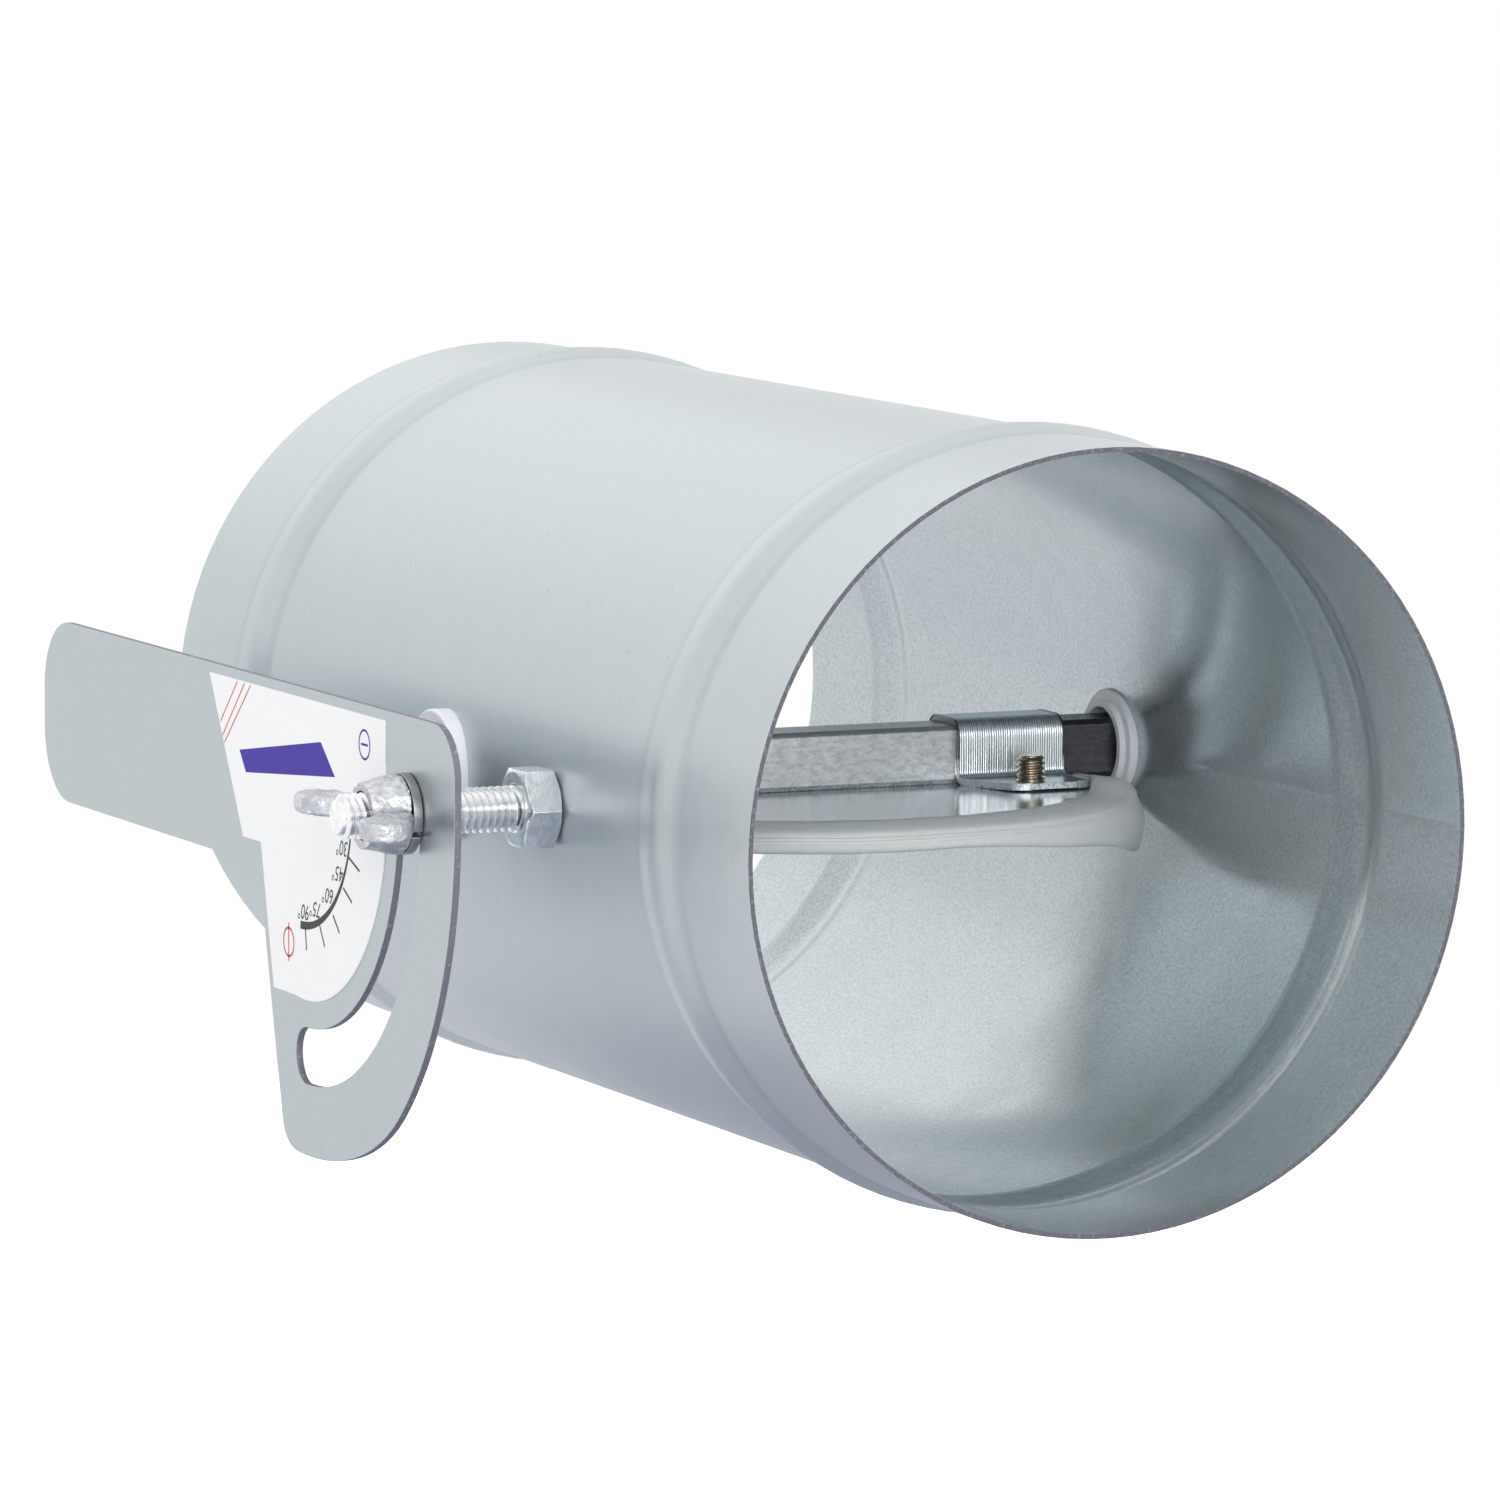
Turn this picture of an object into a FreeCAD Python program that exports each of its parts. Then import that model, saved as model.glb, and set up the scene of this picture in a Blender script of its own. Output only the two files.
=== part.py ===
"""Manual volume control damper for round ducting: tube, blade on a square shaft, locking handle."""

import FreeCAD
import Part

import math
import os

os.makedirs("parts", exist_ok=True)

# Frame: millimetres, origin at the centre of the front mouth, Y along the duct, Z up,
# X along the shaft. The handle stands on the minus X side.

# Duct tube
duct_diameter = 100.0
duct_length = 200.0
duct_sheet = 0.6
bead_from_end = 28.0
bead_width = 14.0
bead_height = 1.1
bead_steps = 8

# Shaft, a square bar with its corners turned down to a running circle
shaft_square = 8.0
shaft_corner_diameter = 10.4
shaft_past_bush = 3.0
tenon_square = 6.0
shaft_end_chamfer = 0.6

# Nylon bushes in the two walls
bush_running_clearance = 0.05
bush_neck_wall = 0.95
bush_outer_flange_radius = 9.0
bush_outer_flange_height = 1.6
bush_inner_flange_radius = 8.5
bush_inner_flange_height = 2.1
bush_flange_round = 0.4

# Blade disc with the soft edge seal clipped over its rim
blade_sheet = 1.0
blade_wall_gap = 1.0
blade_flat_gap = 0.5
seal_shaft_gap = 0.3
seal_lip_length = 7.0
seal_lip_inner = 0.8
seal_bulge_top = 0.2
seal_body_drop = 1.9
seal_edge_groove_depth = 1.2
seal_edge_groove_height = 0.9
seal_side = 2.2
seal_lip_round = 0.3
seal_edge_round = 0.2

# Saddles that clamp the shaft on the blade
saddle_seal_gap = 1.6
saddle_length = 16.0
saddle_sheet = 1.0
saddle_bend_inner = 0.8
saddle_ear_reach = 11.0
saddle_ear_tip = 9.0
saddle_ear_round = 2.0
saddle_screw_from_face = 6.0

# Saddle screws, driven from below the blade
screw_diameter = 4.0
screw_above_ear = 3.4
screw_head_radius = 3.6
screw_head_height = 2.3
screw_head_round = 1.1
screw_recess_width = 1.0
screw_recess_length = 4.4
screw_recess_depth = 1.2
screw_tip_chamfer = 0.5

# Handle plate
plate_sheet = 1.0
plate_standoff = 18.5
quadrant_radius = 52.0
lever_reach = 102.5
lever_top = 12.5
lever_bottom = 13.0
lever_round = 10.0
plate_top_round = 7.0
quadrant_root = 17.5
quadrant_slope = 0.2523
quadrant_round = 6.0
slot_rim_width = 11.7
slot_stud_clearance = 0.8
slot_turn = 90.0

# Scale label stuck on the plate
label_thickness = 0.15
label_slot_margin = 3.7
label_top_margin = 1.3
label_top_far = 35.6
label_step_far = 23.0
label_step_near = 16.3
label_step_drop = 9.8
label_foot_far = 11.6
label_foot_near = 3.5

# Clamp bolt, its nut on the wall, lock washer and wing nut
bolt_diameter = 6.0
bolt_pitch = 1.0
bolt_past_wing_nut = 3.4
bolt_hole_clearance = 0.2
bolt_tip_chamfer = 0.8
hex_across_flats = 10.0
hex_chamfer_slope = 0.5
hex_face_radius = 4.75
bolt_head_height = 4.0
wall_nut_height = 5.0
bolt_washer_radius = 5.5
bolt_washer_height = 1.0
thread_clearance = 0.05
lock_washer_radius = 5.3
lock_washer_height = 1.3
lock_washer_bore_gap = 0.2
lock_washer_split = 0.7
lock_washer_split_angle = 25.0
stack_gap = 0.1
wing_boss_base_radius = 5.5
wing_boss_top_radius = 4.4
wing_boss_height = 5.2
wing_span = 30.0
wing_height = 9.6
wing_thickness = 2.8
wing_round = 0.7
wing_root_reach = 3.3
wing_root_lift = 0.6
wing_waist_reach = 8.25
wing_waist_lift = 0.9
wing_waist_round = 2.0
wing_tip_lift = 4.0
wing_tip_low_round = 2.5
wing_tip_round = 3.0
wing_crown_reach = 9.3
wing_crown_round = 2.2
wing_neck_reach = 6.0
wing_neck_round = 1.5
wing_tilt = 2.5

# Retaining rings on the shaft, outside the bushes
ring_height = 1.0
ring_gap = 0.3
ring_radius = 7.0
ring_groove_radius = 4.7
ring_mouth = 5.0

# Sizes that follow from the ones above
outer_radius = duct_diameter / 2
inner_radius = outer_radius - duct_sheet
shaft_y = duct_length / 2
shaft_half = shaft_square / 2
corner_radius = shaft_corner_diameter / 2
bush_bore = corner_radius + bush_running_clearance
bush_neck_radius = bush_bore + bush_neck_wall
bush_outer_face = outer_radius + bush_outer_flange_height
bush_inner_face = inner_radius - bush_inner_flange_height
blade_top = -shaft_half
blade_bottom = blade_top - blade_sheet
seal_radius = inner_radius - blade_wall_gap
seal_flat = bush_inner_face - blade_flat_gap
blade_radius = seal_radius - seal_side
blade_flat = seal_flat - seal_side
seal_inner_radius = seal_radius - seal_lip_length
saddle_half = shaft_half + saddle_sheet
ear_top = blade_top + saddle_sheet
screw_y = saddle_half + saddle_screw_from_face
saddle_far = math.sqrt((seal_inner_radius - saddle_seal_gap) ** 2 - saddle_half ** 2)
saddle_centre = saddle_far - saddle_length / 2
plate_back = -(outer_radius + plate_standoff)
plate_front = plate_back - plate_sheet
stud_radius = bolt_diameter / 2
slot_half = stud_radius + slot_stud_clearance
slot_radius = quadrant_radius - slot_rim_width - slot_half
label_radius = slot_radius - slot_half - label_slot_margin
stud_y = shaft_y - slot_radius
washer_seat = -math.sqrt(inner_radius ** 2 - bolt_washer_radius ** 2)
head_seat = washer_seat + bolt_washer_height
lock_washer_back = plate_front - stack_gap
wing_base = lock_washer_back - lock_washer_height - stack_gap
bolt_tip = wing_base - wing_boss_height - bolt_past_wing_nut
ring_inner_face = bush_outer_face + ring_gap
ring_outer_face = ring_inner_face + ring_height
shaft_right = ring_outer_face + shaft_past_bush - ring_height
x_axis = FreeCAD.Vector(1, 0, 0)
y_axis = FreeCAD.Vector(0, 1, 0)
z_axis = FreeCAD.Vector(0, 0, 1)
far = duct_length * 2
pick_tolerance = 0.01


def point(x, y, z):
    return FreeCAD.Vector(x, y, z)


def rod_x(radius, start, end, y, z=0.0):
    """Round bar along X."""
    return Part.makeCylinder(radius, end - start, point(start, y, z), x_axis)


def rod_y(radius, start, end):
    """Round bar along the duct axis."""
    return Part.makeCylinder(radius, end - start, point(0, start, 0), y_axis)


def rod_z(radius, start, end, x, y):
    """Round bar upright."""
    return Part.makeCylinder(radius, end - start, point(x, y, start), z_axis)


def block(x0, x1, y0, y1, z0, z1):
    """Box between two corners."""
    return Part.makeBox(x1 - x0, y1 - y0, z1 - z0, point(x0, y0, z0))


def rounded_face(corners):
    """Flat face from (point, rounding) corners, each corner rounded by its own radius."""
    count = len(corners)
    starts = []
    ends = []
    mids = []
    for index in range(count):
        here, radius = corners[index]
        before = corners[index - 1][0]
        after = corners[(index + 1) % count][0]
        back = (before - here).normalize()
        ahead = (after - here).normalize()
        half = back.getAngle(ahead) / 2
        reach = radius / math.tan(half)
        middle = (back + ahead).normalize()
        starts.append(here + back * reach)
        ends.append(here + ahead * reach)
        mids.append(here + middle * (radius / math.sin(half) - radius))
    edges = []
    for index in range(count):
        if corners[index][1] > 0:
            edges.append(Part.Arc(starts[index], mids[index], ends[index]).toShape())
        following = starts[(index + 1) % count]
        if (following - ends[index]).Length > pick_tolerance:
            edges.append(Part.makeLine(ends[index], following))
    return Part.Face(Part.Wire(edges))


def cut_all(shape, tools):
    """The shape with every tool taken away."""
    for tool in tools:
        shape = shape.cut(tool)
    return shape


def join_all(shapes):
    """All the shapes as one solid."""
    whole = shapes[0].fuse(shapes[1:])
    return whole.removeSplitter()


def save(shape, name):
    """Write one node as a STEP file."""
    shape.exportStep("parts/" + name + ".step")


def turned(shape, angle, y, z=0.0):
    """The shape turned about an X line."""
    copy = shape.copy()
    copy.rotate(point(0, y, z), x_axis, angle)
    return copy


def mirrored_x(shape):
    """The shape on the other side of the duct."""
    return shape.mirror(point(0, 0, 0), x_axis)


def mirrored_y(shape):
    """The shape on the other side of the shaft."""
    return shape.mirror(point(0, shaft_y, 0), y_axis)


def wall_line(radius):
    """Tube line from the front mouth to the rear mouth with a smooth bead near each end."""
    edges = []
    start = point(radius, 0, 0)
    for centre in (bead_from_end, duct_length - bead_from_end):
        points = []
        for step in range(bead_steps + 1):
            share = step / bead_steps
            rise = bead_height * (1 - math.cos(2 * math.pi * share)) / 2
            points.append(point(radius + rise, centre + (share - 0.5) * bead_width, 0))
        hump = Part.BSplineCurve()
        hump.interpolate(Points=points, InitialTangent=y_axis, FinalTangent=y_axis)
        edges.append(Part.makeLine(start, points[0]))
        edges.append(hump.toShape())
        start = points[-1]
    edges.append(Part.makeLine(start, point(radius, duct_length, 0)))
    return edges


def duct_body():
    """Tube with two beads, a hole for each bush and one for the clamp bolt."""
    outside = wall_line(outer_radius)
    inside = wall_line(inner_radius)
    rear = Part.makeLine(point(outer_radius, duct_length, 0), point(inner_radius, duct_length, 0))
    front = Part.makeLine(point(inner_radius, 0, 0), point(outer_radius, 0, 0))
    section = Part.Face(Part.Wire(Part.__sortEdges__(outside + inside + [rear, front])))
    tube = section.revolve(point(0, 0, 0), y_axis, 360)
    bush_hole = rod_x(bush_neck_radius, -far, far, shaft_y)
    bolt_hole = rod_x(stud_radius + bolt_hole_clearance, -far, 0, stud_y)
    return cut_all(tube, [bush_hole, bolt_hole])


def bush_outer():
    """Right outer half: flange bedded on the outside wall and a neck through the hole."""
    flange = rod_x(bush_outer_flange_radius, 0, bush_outer_face, shaft_y)
    rim = [edge for edge in flange.Edges if abs(edge.CenterOfMass.x - bush_outer_face) < pick_tolerance]
    flange = flange.makeFillet(bush_flange_round, rim)
    flange = flange.cut(rod_y(outer_radius, -1, duct_length + 1))
    neck = rod_x(bush_neck_radius, bush_inner_face, bush_outer_face - bush_flange_round, shaft_y)
    bush = join_all([flange, neck])
    return bush.cut(rod_x(bush_bore, 0, far, shaft_y))


def bush_inner():
    """Right inner half: ring pressed on the neck and bedded on the inside wall."""
    ring = rod_x(bush_inner_flange_radius, bush_inner_face, outer_radius, shaft_y)
    rim = [edge for edge in ring.Edges if abs(edge.CenterOfMass.x - bush_inner_face) < pick_tolerance]
    ring = ring.makeFillet(bush_flange_round, rim)
    ring = ring.common(rod_y(inner_radius, -1, duct_length + 1))
    return ring.cut(rod_x(bush_neck_radius, 0, far, shaft_y))


def shaft():
    """Square bar with turned corners, a tenon for the plate and two ring grooves."""
    bar = block(plate_back, shaft_right, shaft_y - shaft_half, shaft_y + shaft_half, -shaft_half, shaft_half)
    turning = rod_x(corner_radius, plate_back, shaft_right, shaft_y)
    end = [edge for edge in turning.Edges if abs(edge.CenterOfMass.x - shaft_right) < pick_tolerance]
    turning = turning.makeChamfer(shaft_end_chamfer, end)
    bar = bar.common(turning)
    half = tenon_square / 2
    tenon = block(plate_front, plate_back, shaft_y - half, shaft_y + half, -half, half)
    bar = join_all([bar, tenon])
    for side in (-1, 1):
        faces = sorted((side * ring_inner_face, side * ring_outer_face))
        groove = rod_x(corner_radius + 1, faces[0], faces[1], shaft_y)
        core = rod_x(ring_groove_radius, faces[0], faces[1], shaft_y)
        bar = bar.cut(groove.cut(core))
    return bar


def shaft_ring(side):
    """Open retaining ring in its groove."""
    faces = sorted((side * ring_inner_face, side * ring_outer_face))
    ring = rod_x(ring_radius, faces[0], faces[1], shaft_y)
    bore = rod_x(ring_groove_radius, faces[0], faces[1], shaft_y)
    half = ring_mouth / 2
    mouth = block(faces[0], faces[1], shaft_y - half, shaft_y + half, -far, 0)
    return ring.cut(bore).cut(mouth)


def blade_disc():
    """Sheet disc with a flat at each bush and four screw holes."""
    disc = rod_z(blade_radius, blade_bottom, blade_top, 0, shaft_y)
    disc = disc.common(block(-blade_flat, blade_flat, -far, far, -far, far))
    for x in (-saddle_centre, saddle_centre):
        for y in (shaft_y - screw_y, shaft_y + screw_y):
            disc = disc.cut(rod_z(screw_diameter / 2, blade_bottom, blade_top, x, y))
    return disc


def blade_seal():
    """Soft channel clipped over the rim of the disc, with two lips and a grooved edge."""
    middle = (blade_top + blade_bottom) / 2
    low = blade_bottom - seal_body_drop
    high = blade_top - seal_bulge_top
    groove = middle - seal_side / 2
    half = seal_edge_groove_height / 2
    corners = [
        (seal_inner_radius, blade_top + seal_lip_inner, seal_lip_round),
        (seal_radius - seal_side, blade_top + seal_lip_inner / 2, 0),
        (seal_radius, high, seal_edge_round),
        (seal_radius, groove + half, 0),
        (seal_radius - seal_edge_groove_depth, groove, seal_edge_round),
        (seal_radius, groove - half, 0),
        (seal_radius, low, seal_edge_round),
        (seal_radius - seal_side, low + seal_lip_inner, 0),
        (seal_inner_radius, blade_bottom - seal_lip_inner, seal_lip_round),
    ]
    section = rounded_face([(point(radius, shaft_y, z), rounding) for radius, z, rounding in corners])
    ring = section.revolve(point(0, shaft_y, 0), z_axis, 360)
    ring = ring.common(block(-seal_flat, seal_flat, -far, far, -far, far))
    whole = rod_z(blade_radius, blade_bottom, blade_top, 0, shaft_y)
    whole = whole.common(block(-blade_flat, blade_flat, -far, far, -far, far))
    reach = shaft_half + seal_shaft_gap
    under_shaft = block(-far, far, shaft_y - reach, shaft_y + reach, blade_top, far)
    return cut_all(ring, [whole, under_shaft])


def saddle():
    """Right saddle: bent strip over the shaft with a tapered ear on each side."""
    bend = saddle_bend_inner
    outer_bend = bend + saddle_sheet
    ear = saddle_half + saddle_ear_reach
    left = saddle_centre - saddle_length / 2
    side = []
    for sign in (1, -1):
        run = [
            (sign * ear, blade_top, 0),
            (sign * ear, ear_top, 0),
            (sign * saddle_half, ear_top, bend),
            (sign * saddle_half, shaft_half + saddle_sheet, outer_bend),
        ]
        side.append(run)
    under = [
        (-shaft_half, blade_top, 0),
        (-shaft_half, shaft_half, bend),
        (shaft_half, shaft_half, bend),
        (shaft_half, blade_top, 0),
    ]
    outline = side[0] + list(reversed(side[1])) + under
    corners = [(point(left, shaft_y + y, z), rounding) for y, z, rounding in outline]
    strip = rounded_face(corners).extrude(point(saddle_length, 0, 0))
    half = saddle_length / 2
    tip = saddle_ear_tip / 2
    plan = [
        (half, saddle_half, 0),
        (tip, ear, saddle_ear_round),
        (-tip, ear, saddle_ear_round),
        (-half, saddle_half, 0),
        (-half, -saddle_half, 0),
        (-tip, -ear, saddle_ear_round),
        (tip, -ear, saddle_ear_round),
        (half, -saddle_half, 0),
    ]
    corners = [(point(saddle_centre + x, shaft_y + y, blade_top), rounding) for x, y, rounding in plan]
    trim = rounded_face(corners).extrude(point(0, 0, shaft_square + 2 * saddle_sheet))
    strip = strip.common(trim)
    for y in (shaft_y - screw_y, shaft_y + screw_y):
        strip = strip.cut(rod_z(screw_diameter / 2, blade_top, ear_top, saddle_centre, y))
    return strip


def saddle_screw(x, y):
    """Pan head screw from below with its tip standing through the ear."""
    tip = ear_top + screw_above_ear
    shank = rod_z(screw_diameter / 2, blade_bottom, tip, x, y)
    end = [edge for edge in shank.Edges if abs(edge.CenterOfMass.z - tip) < pick_tolerance]
    shank = shank.makeChamfer(screw_tip_chamfer, end)
    head_low = blade_bottom - screw_head_height
    head = rod_z(screw_head_radius, head_low, blade_bottom, x, y)
    rim = [edge for edge in head.Edges if abs(edge.CenterOfMass.z - head_low) < pick_tolerance]
    head = head.makeFillet(screw_head_round, rim)
    width = screw_recess_width / 2
    reach = screw_recess_length / 2
    depth = head_low + screw_recess_depth
    head = head.cut(block(x - width, x + width, y - reach, y + reach, head_low, depth))
    head = head.cut(block(x - reach, x + reach, y - width, y + width, head_low, depth))
    return join_all([shank, head])


def arc_slot(radius, half_width, start, end):
    """Plate-thick curved slot about the shaft, between two angles from straight ahead."""
    def at(distance, angle):
        turn = math.radians(angle)
        return point(plate_front, shaft_y - distance * math.cos(turn), -distance * math.sin(turn))

    middle = (start + end) / 2
    outer = radius + half_width
    inner = radius - half_width
    cap = math.degrees(half_width / radius)
    edges = [
        Part.Arc(at(outer, start), at(outer, middle), at(outer, end)).toShape(),
        Part.Arc(at(outer, end), at(radius, end + cap), at(inner, end)).toShape(),
        Part.Arc(at(inner, end), at(inner, middle), at(inner, start)).toShape(),
        Part.Arc(at(inner, start), at(radius, start - cap), at(outer, start)).toShape(),
    ]
    return Part.Face(Part.Wire(edges)).extrude(point(plate_sheet, 0, 0))


def handle_plate():
    """Lever and slotted quadrant cut from one flat sheet."""
    near = shaft_y - quadrant_radius
    end = shaft_y + lever_reach
    root = shaft_y + quadrant_root
    foot_drop = quadrant_radius + 1
    foot = root - quadrant_slope * (foot_drop - lever_bottom)
    lever = [
        (near, lever_top, plate_top_round),
        (end, lever_top, lever_round),
        (end, -lever_bottom, lever_round),
        (root, -lever_bottom, 0),
        (foot, -foot_drop, 0),
        (near, -foot_drop, 0),
    ]
    corners = [(point(plate_front, y, z), rounding) for y, z, rounding in lever]
    plate = rounded_face(corners).extrude(point(plate_sheet, 0, 0))
    circle = rod_x(quadrant_radius, plate_front, plate_back, shaft_y)
    keep = join_all([circle, block(plate_front, plate_back, near, end, 0, lever_top),
                     block(plate_front, plate_back, shaft_y, end, -lever_bottom, lever_top)])
    plate = plate.common(keep)
    plate = plate.removeSplitter()
    foot_edges = []
    for edge in plate.Edges:
        across = abs(edge.Length - plate_sheet) < pick_tolerance
        behind_shaft = edge.CenterOfMass.y > shaft_y
        if across and behind_shaft and edge.CenterOfMass.z < -quadrant_root - lever_bottom:
            foot_edges.append(edge)
    plate = plate.makeFillet(quadrant_round, foot_edges)
    plate = plate.cut(arc_slot(slot_radius, slot_half, 0.0, slot_turn))
    half = tenon_square / 2
    return plate.cut(block(plate_front, plate_back, shaft_y - half, shaft_y + half, -half, half))


def scale_label():
    """Thin label whose outline follows the lever and the quadrant."""
    top = lever_top - label_top_margin
    drop = math.sqrt(label_radius ** 2 - label_foot_near ** 2)

    def at(y, z):
        return point(plate_front - label_thickness, shaft_y + y, z)

    turn = math.radians(45)
    near_top = math.sqrt(label_radius ** 2 - (top / 2) ** 2)
    bulge = at(-label_radius * math.cos(turn), -label_radius * math.sin(turn))
    edges = [
        Part.makeLine(at(label_top_far, top), at(-near_top, top)),
        Part.makeLine(at(-near_top, top), at(-near_top, top / 2)),
        Part.Arc(at(-near_top, top / 2), bulge, at(label_foot_near, -drop)).toShape(),
        Part.makeLine(at(label_foot_near, -drop), at(label_foot_far, -drop)),
        Part.makeLine(at(label_foot_far, -drop), at(label_step_near, -label_step_drop)),
        Part.makeLine(at(label_step_near, -label_step_drop), at(label_step_far, -label_step_drop)),
        Part.makeLine(at(label_step_far, -label_step_drop), at(label_top_far, top)),
    ]
    return Part.Face(Part.Wire(edges)).extrude(point(label_thickness, 0, 0))


def hexagon(start, end, y):
    """Six-sided bar along X with a corner up and turned-down end corners."""
    radius = hex_across_flats / 2 / math.cos(math.radians(30))
    corners = []
    for side in range(6):
        turn = math.radians(60 * side + 90)
        corners.append(point(start, y + radius * math.cos(turn), radius * math.sin(turn)))
    body = Part.Face(Part.makePolygon(corners + [corners[0]])).extrude(point(end - start, 0, 0))
    return body, radius


def hex_turned(start, end, y, both):
    """Hexagon with its ends chamfered by a cone."""
    body, radius = hexagon(start, end, y)
    height = (radius - hex_face_radius) * hex_chamfer_slope
    free = Part.makeCone(hex_face_radius, radius, height, point(start, y, 0), x_axis)
    middle_end = end - height if both else end
    shell = join_all([free, rod_x(radius, start + height, middle_end, y)])
    if both:
        shell = join_all([shell, Part.makeCone(radius, hex_face_radius, height, point(end - height, y, 0), x_axis)])
    return body.common(shell)


def clamp_bolt():
    """Hexagon bolt from inside the duct, long enough to carry the wing nut."""
    shank = rod_x(stud_radius, bolt_tip, head_seat, stud_y)
    end = [edge for edge in shank.Edges if abs(edge.CenterOfMass.x - bolt_tip) < pick_tolerance]
    shank = shank.makeChamfer(bolt_tip_chamfer, end)
    head = hex_turned(-head_seat - bolt_head_height, -head_seat, stud_y, False)
    return join_all([shank, mirrored_x(head)])


def bolt_washer():
    """Flat washer between the bolt head and the inside wall."""
    washer = rod_x(bolt_washer_radius, washer_seat, head_seat, stud_y)
    return washer.cut(rod_x(stud_radius, washer_seat, head_seat, stud_y))


def wall_nut():
    """Hexagon nut that clamps the bolt to the wall from outside."""
    nut = hex_turned(-outer_radius - wall_nut_height, -outer_radius, stud_y, True)
    return nut.cut(rod_x(stud_radius, -far, 0, stud_y))


def lock_washer():
    """Split washer between the plate and the wing nut."""
    front = lock_washer_back - lock_washer_height
    washer = rod_x(lock_washer_radius, front, lock_washer_back, stud_y)
    washer = washer.cut(rod_x(stud_radius + lock_washer_bore_gap, front, lock_washer_back, stud_y))
    half = lock_washer_split / 2
    split = block(front, lock_washer_back, stud_y - far, stud_y, -half, half)
    return washer.cut(turned(split, lock_washer_split_angle, stud_y))


def wing_nut():
    """Cast wing nut: tapered boss with two raised wings."""
    top = wing_base - wing_boss_height
    boss = Part.makeCone(wing_boss_top_radius, wing_boss_base_radius, wing_boss_height,
                         point(top, stud_y, 0), x_axis)
    reach = wing_span / 2
    half = wing_thickness / 2
    outline = [
        (wing_root_reach, wing_root_lift, 0),
        (wing_waist_reach, wing_waist_lift, wing_waist_round),
        (reach, wing_tip_lift, wing_tip_low_round),
        (reach, wing_height, wing_tip_round),
        (wing_crown_reach, wing_height, wing_crown_round),
        (wing_neck_reach, wing_boss_height, wing_neck_round),
        (wing_root_reach, wing_boss_height, 0),
    ]
    parts = [boss]
    for sign in (-1, 1):
        corners = [(point(wing_base - rise, stud_y + sign * out, -half), rounding) for out, rise, rounding in outline]
        wing = rounded_face(corners).extrude(point(0, 0, wing_thickness))
        rims = [edge for edge in wing.Edges
                if abs(abs(edge.CenterOfMass.z) - half) < pick_tolerance
                and sign * (edge.CenterOfMass.y - stud_y) > wing_boss_base_radius]
        parts.append(wing.makeFillet(wing_round, rims))
    nut = join_all(parts)
    nut = nut.cut(rod_x(stud_radius + thread_clearance, -far, 0, stud_y))
    return turned(nut, wing_tilt, stud_y)


def build():
    """Write every node."""
    save(duct_body(), "duct_body")
    save(bush_outer(), "bush_outer_right")
    save(mirrored_x(bush_outer()), "bush_outer_left")
    save(bush_inner(), "bush_inner_right")
    save(mirrored_x(bush_inner()), "bush_inner_left")
    save(shaft(), "square_shaft")
    save(shaft_ring(1), "shaft_ring_right")
    save(shaft_ring(-1), "shaft_ring_left")
    save(blade_disc(), "blade_disc")
    save(blade_seal(), "blade_seal")
    save(saddle(), "saddle_right")
    save(mirrored_x(saddle()), "saddle_left")
    number = 0
    for x in (saddle_centre, -saddle_centre):
        for y in (shaft_y - screw_y, shaft_y + screw_y):
            number += 1
            save(saddle_screw(x, y), "saddle_screw_" + str(number))
    save(handle_plate(), "handle_plate")
    save(scale_label(), "scale_label")
    save(clamp_bolt(), "clamp_bolt")
    save(bolt_washer(), "bolt_washer")
    save(wall_nut(), "wall_nut")
    save(lock_washer(), "lock_washer")
    save(wing_nut(), "wing_nut")


build()
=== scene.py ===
"""Dresses a packed round duct damper: sheet metal, silicone, threads and dial print, in a pale studio."""

import math

import bmesh
import bpy
from mathutils import Matrix, Vector, noise


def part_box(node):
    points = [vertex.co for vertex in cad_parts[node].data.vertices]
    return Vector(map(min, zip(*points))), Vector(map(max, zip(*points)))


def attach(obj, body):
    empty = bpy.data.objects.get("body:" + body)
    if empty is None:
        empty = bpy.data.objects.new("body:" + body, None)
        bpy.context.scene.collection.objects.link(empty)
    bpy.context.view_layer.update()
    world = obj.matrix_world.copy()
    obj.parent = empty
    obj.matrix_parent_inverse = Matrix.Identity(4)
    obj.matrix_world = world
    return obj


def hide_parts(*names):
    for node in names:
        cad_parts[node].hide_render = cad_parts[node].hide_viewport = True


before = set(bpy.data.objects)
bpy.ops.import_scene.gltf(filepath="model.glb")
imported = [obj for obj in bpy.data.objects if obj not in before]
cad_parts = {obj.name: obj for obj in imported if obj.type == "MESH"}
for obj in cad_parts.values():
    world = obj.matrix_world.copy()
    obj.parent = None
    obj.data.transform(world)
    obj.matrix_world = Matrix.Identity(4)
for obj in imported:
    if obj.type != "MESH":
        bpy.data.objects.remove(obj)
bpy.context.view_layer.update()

bl_info = {
    "name": "Duct damper dressing",
    "version": (1, 0, 0),
    "blender": (4, 5, 0),
    "location": "View3D > Sidebar > Damper",
    "description": "Finishes and fine pieces for a packed round duct damper",
    "category": "Object",
}

mm = 0.001
degree = math.radians(1)
x_axis = Vector((1, 0, 0))
y_axis = Vector((0, 1, 0))
z_axis = Vector((0, 0, 1))

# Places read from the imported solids
shaft_low, shaft_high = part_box("square_shaft")
bolt_low, bolt_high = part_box("clamp_bolt")
nut_low, nut_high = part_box("wall_nut")
disc_low, disc_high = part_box("blade_disc")
seal_low, seal_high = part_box("blade_seal")
strap_low, strap_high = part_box("saddle_right")
duct_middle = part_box("duct_body")[1].y / 2
plate_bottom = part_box("handle_plate")[0].z
label_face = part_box("scale_label")[0].x
shaft_y = (shaft_low.y + shaft_high.y) / 2
stud_y = (nut_low.y + nut_high.y) / 2
strap_middle = (strap_low.x + strap_high.x) / 2

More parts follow.
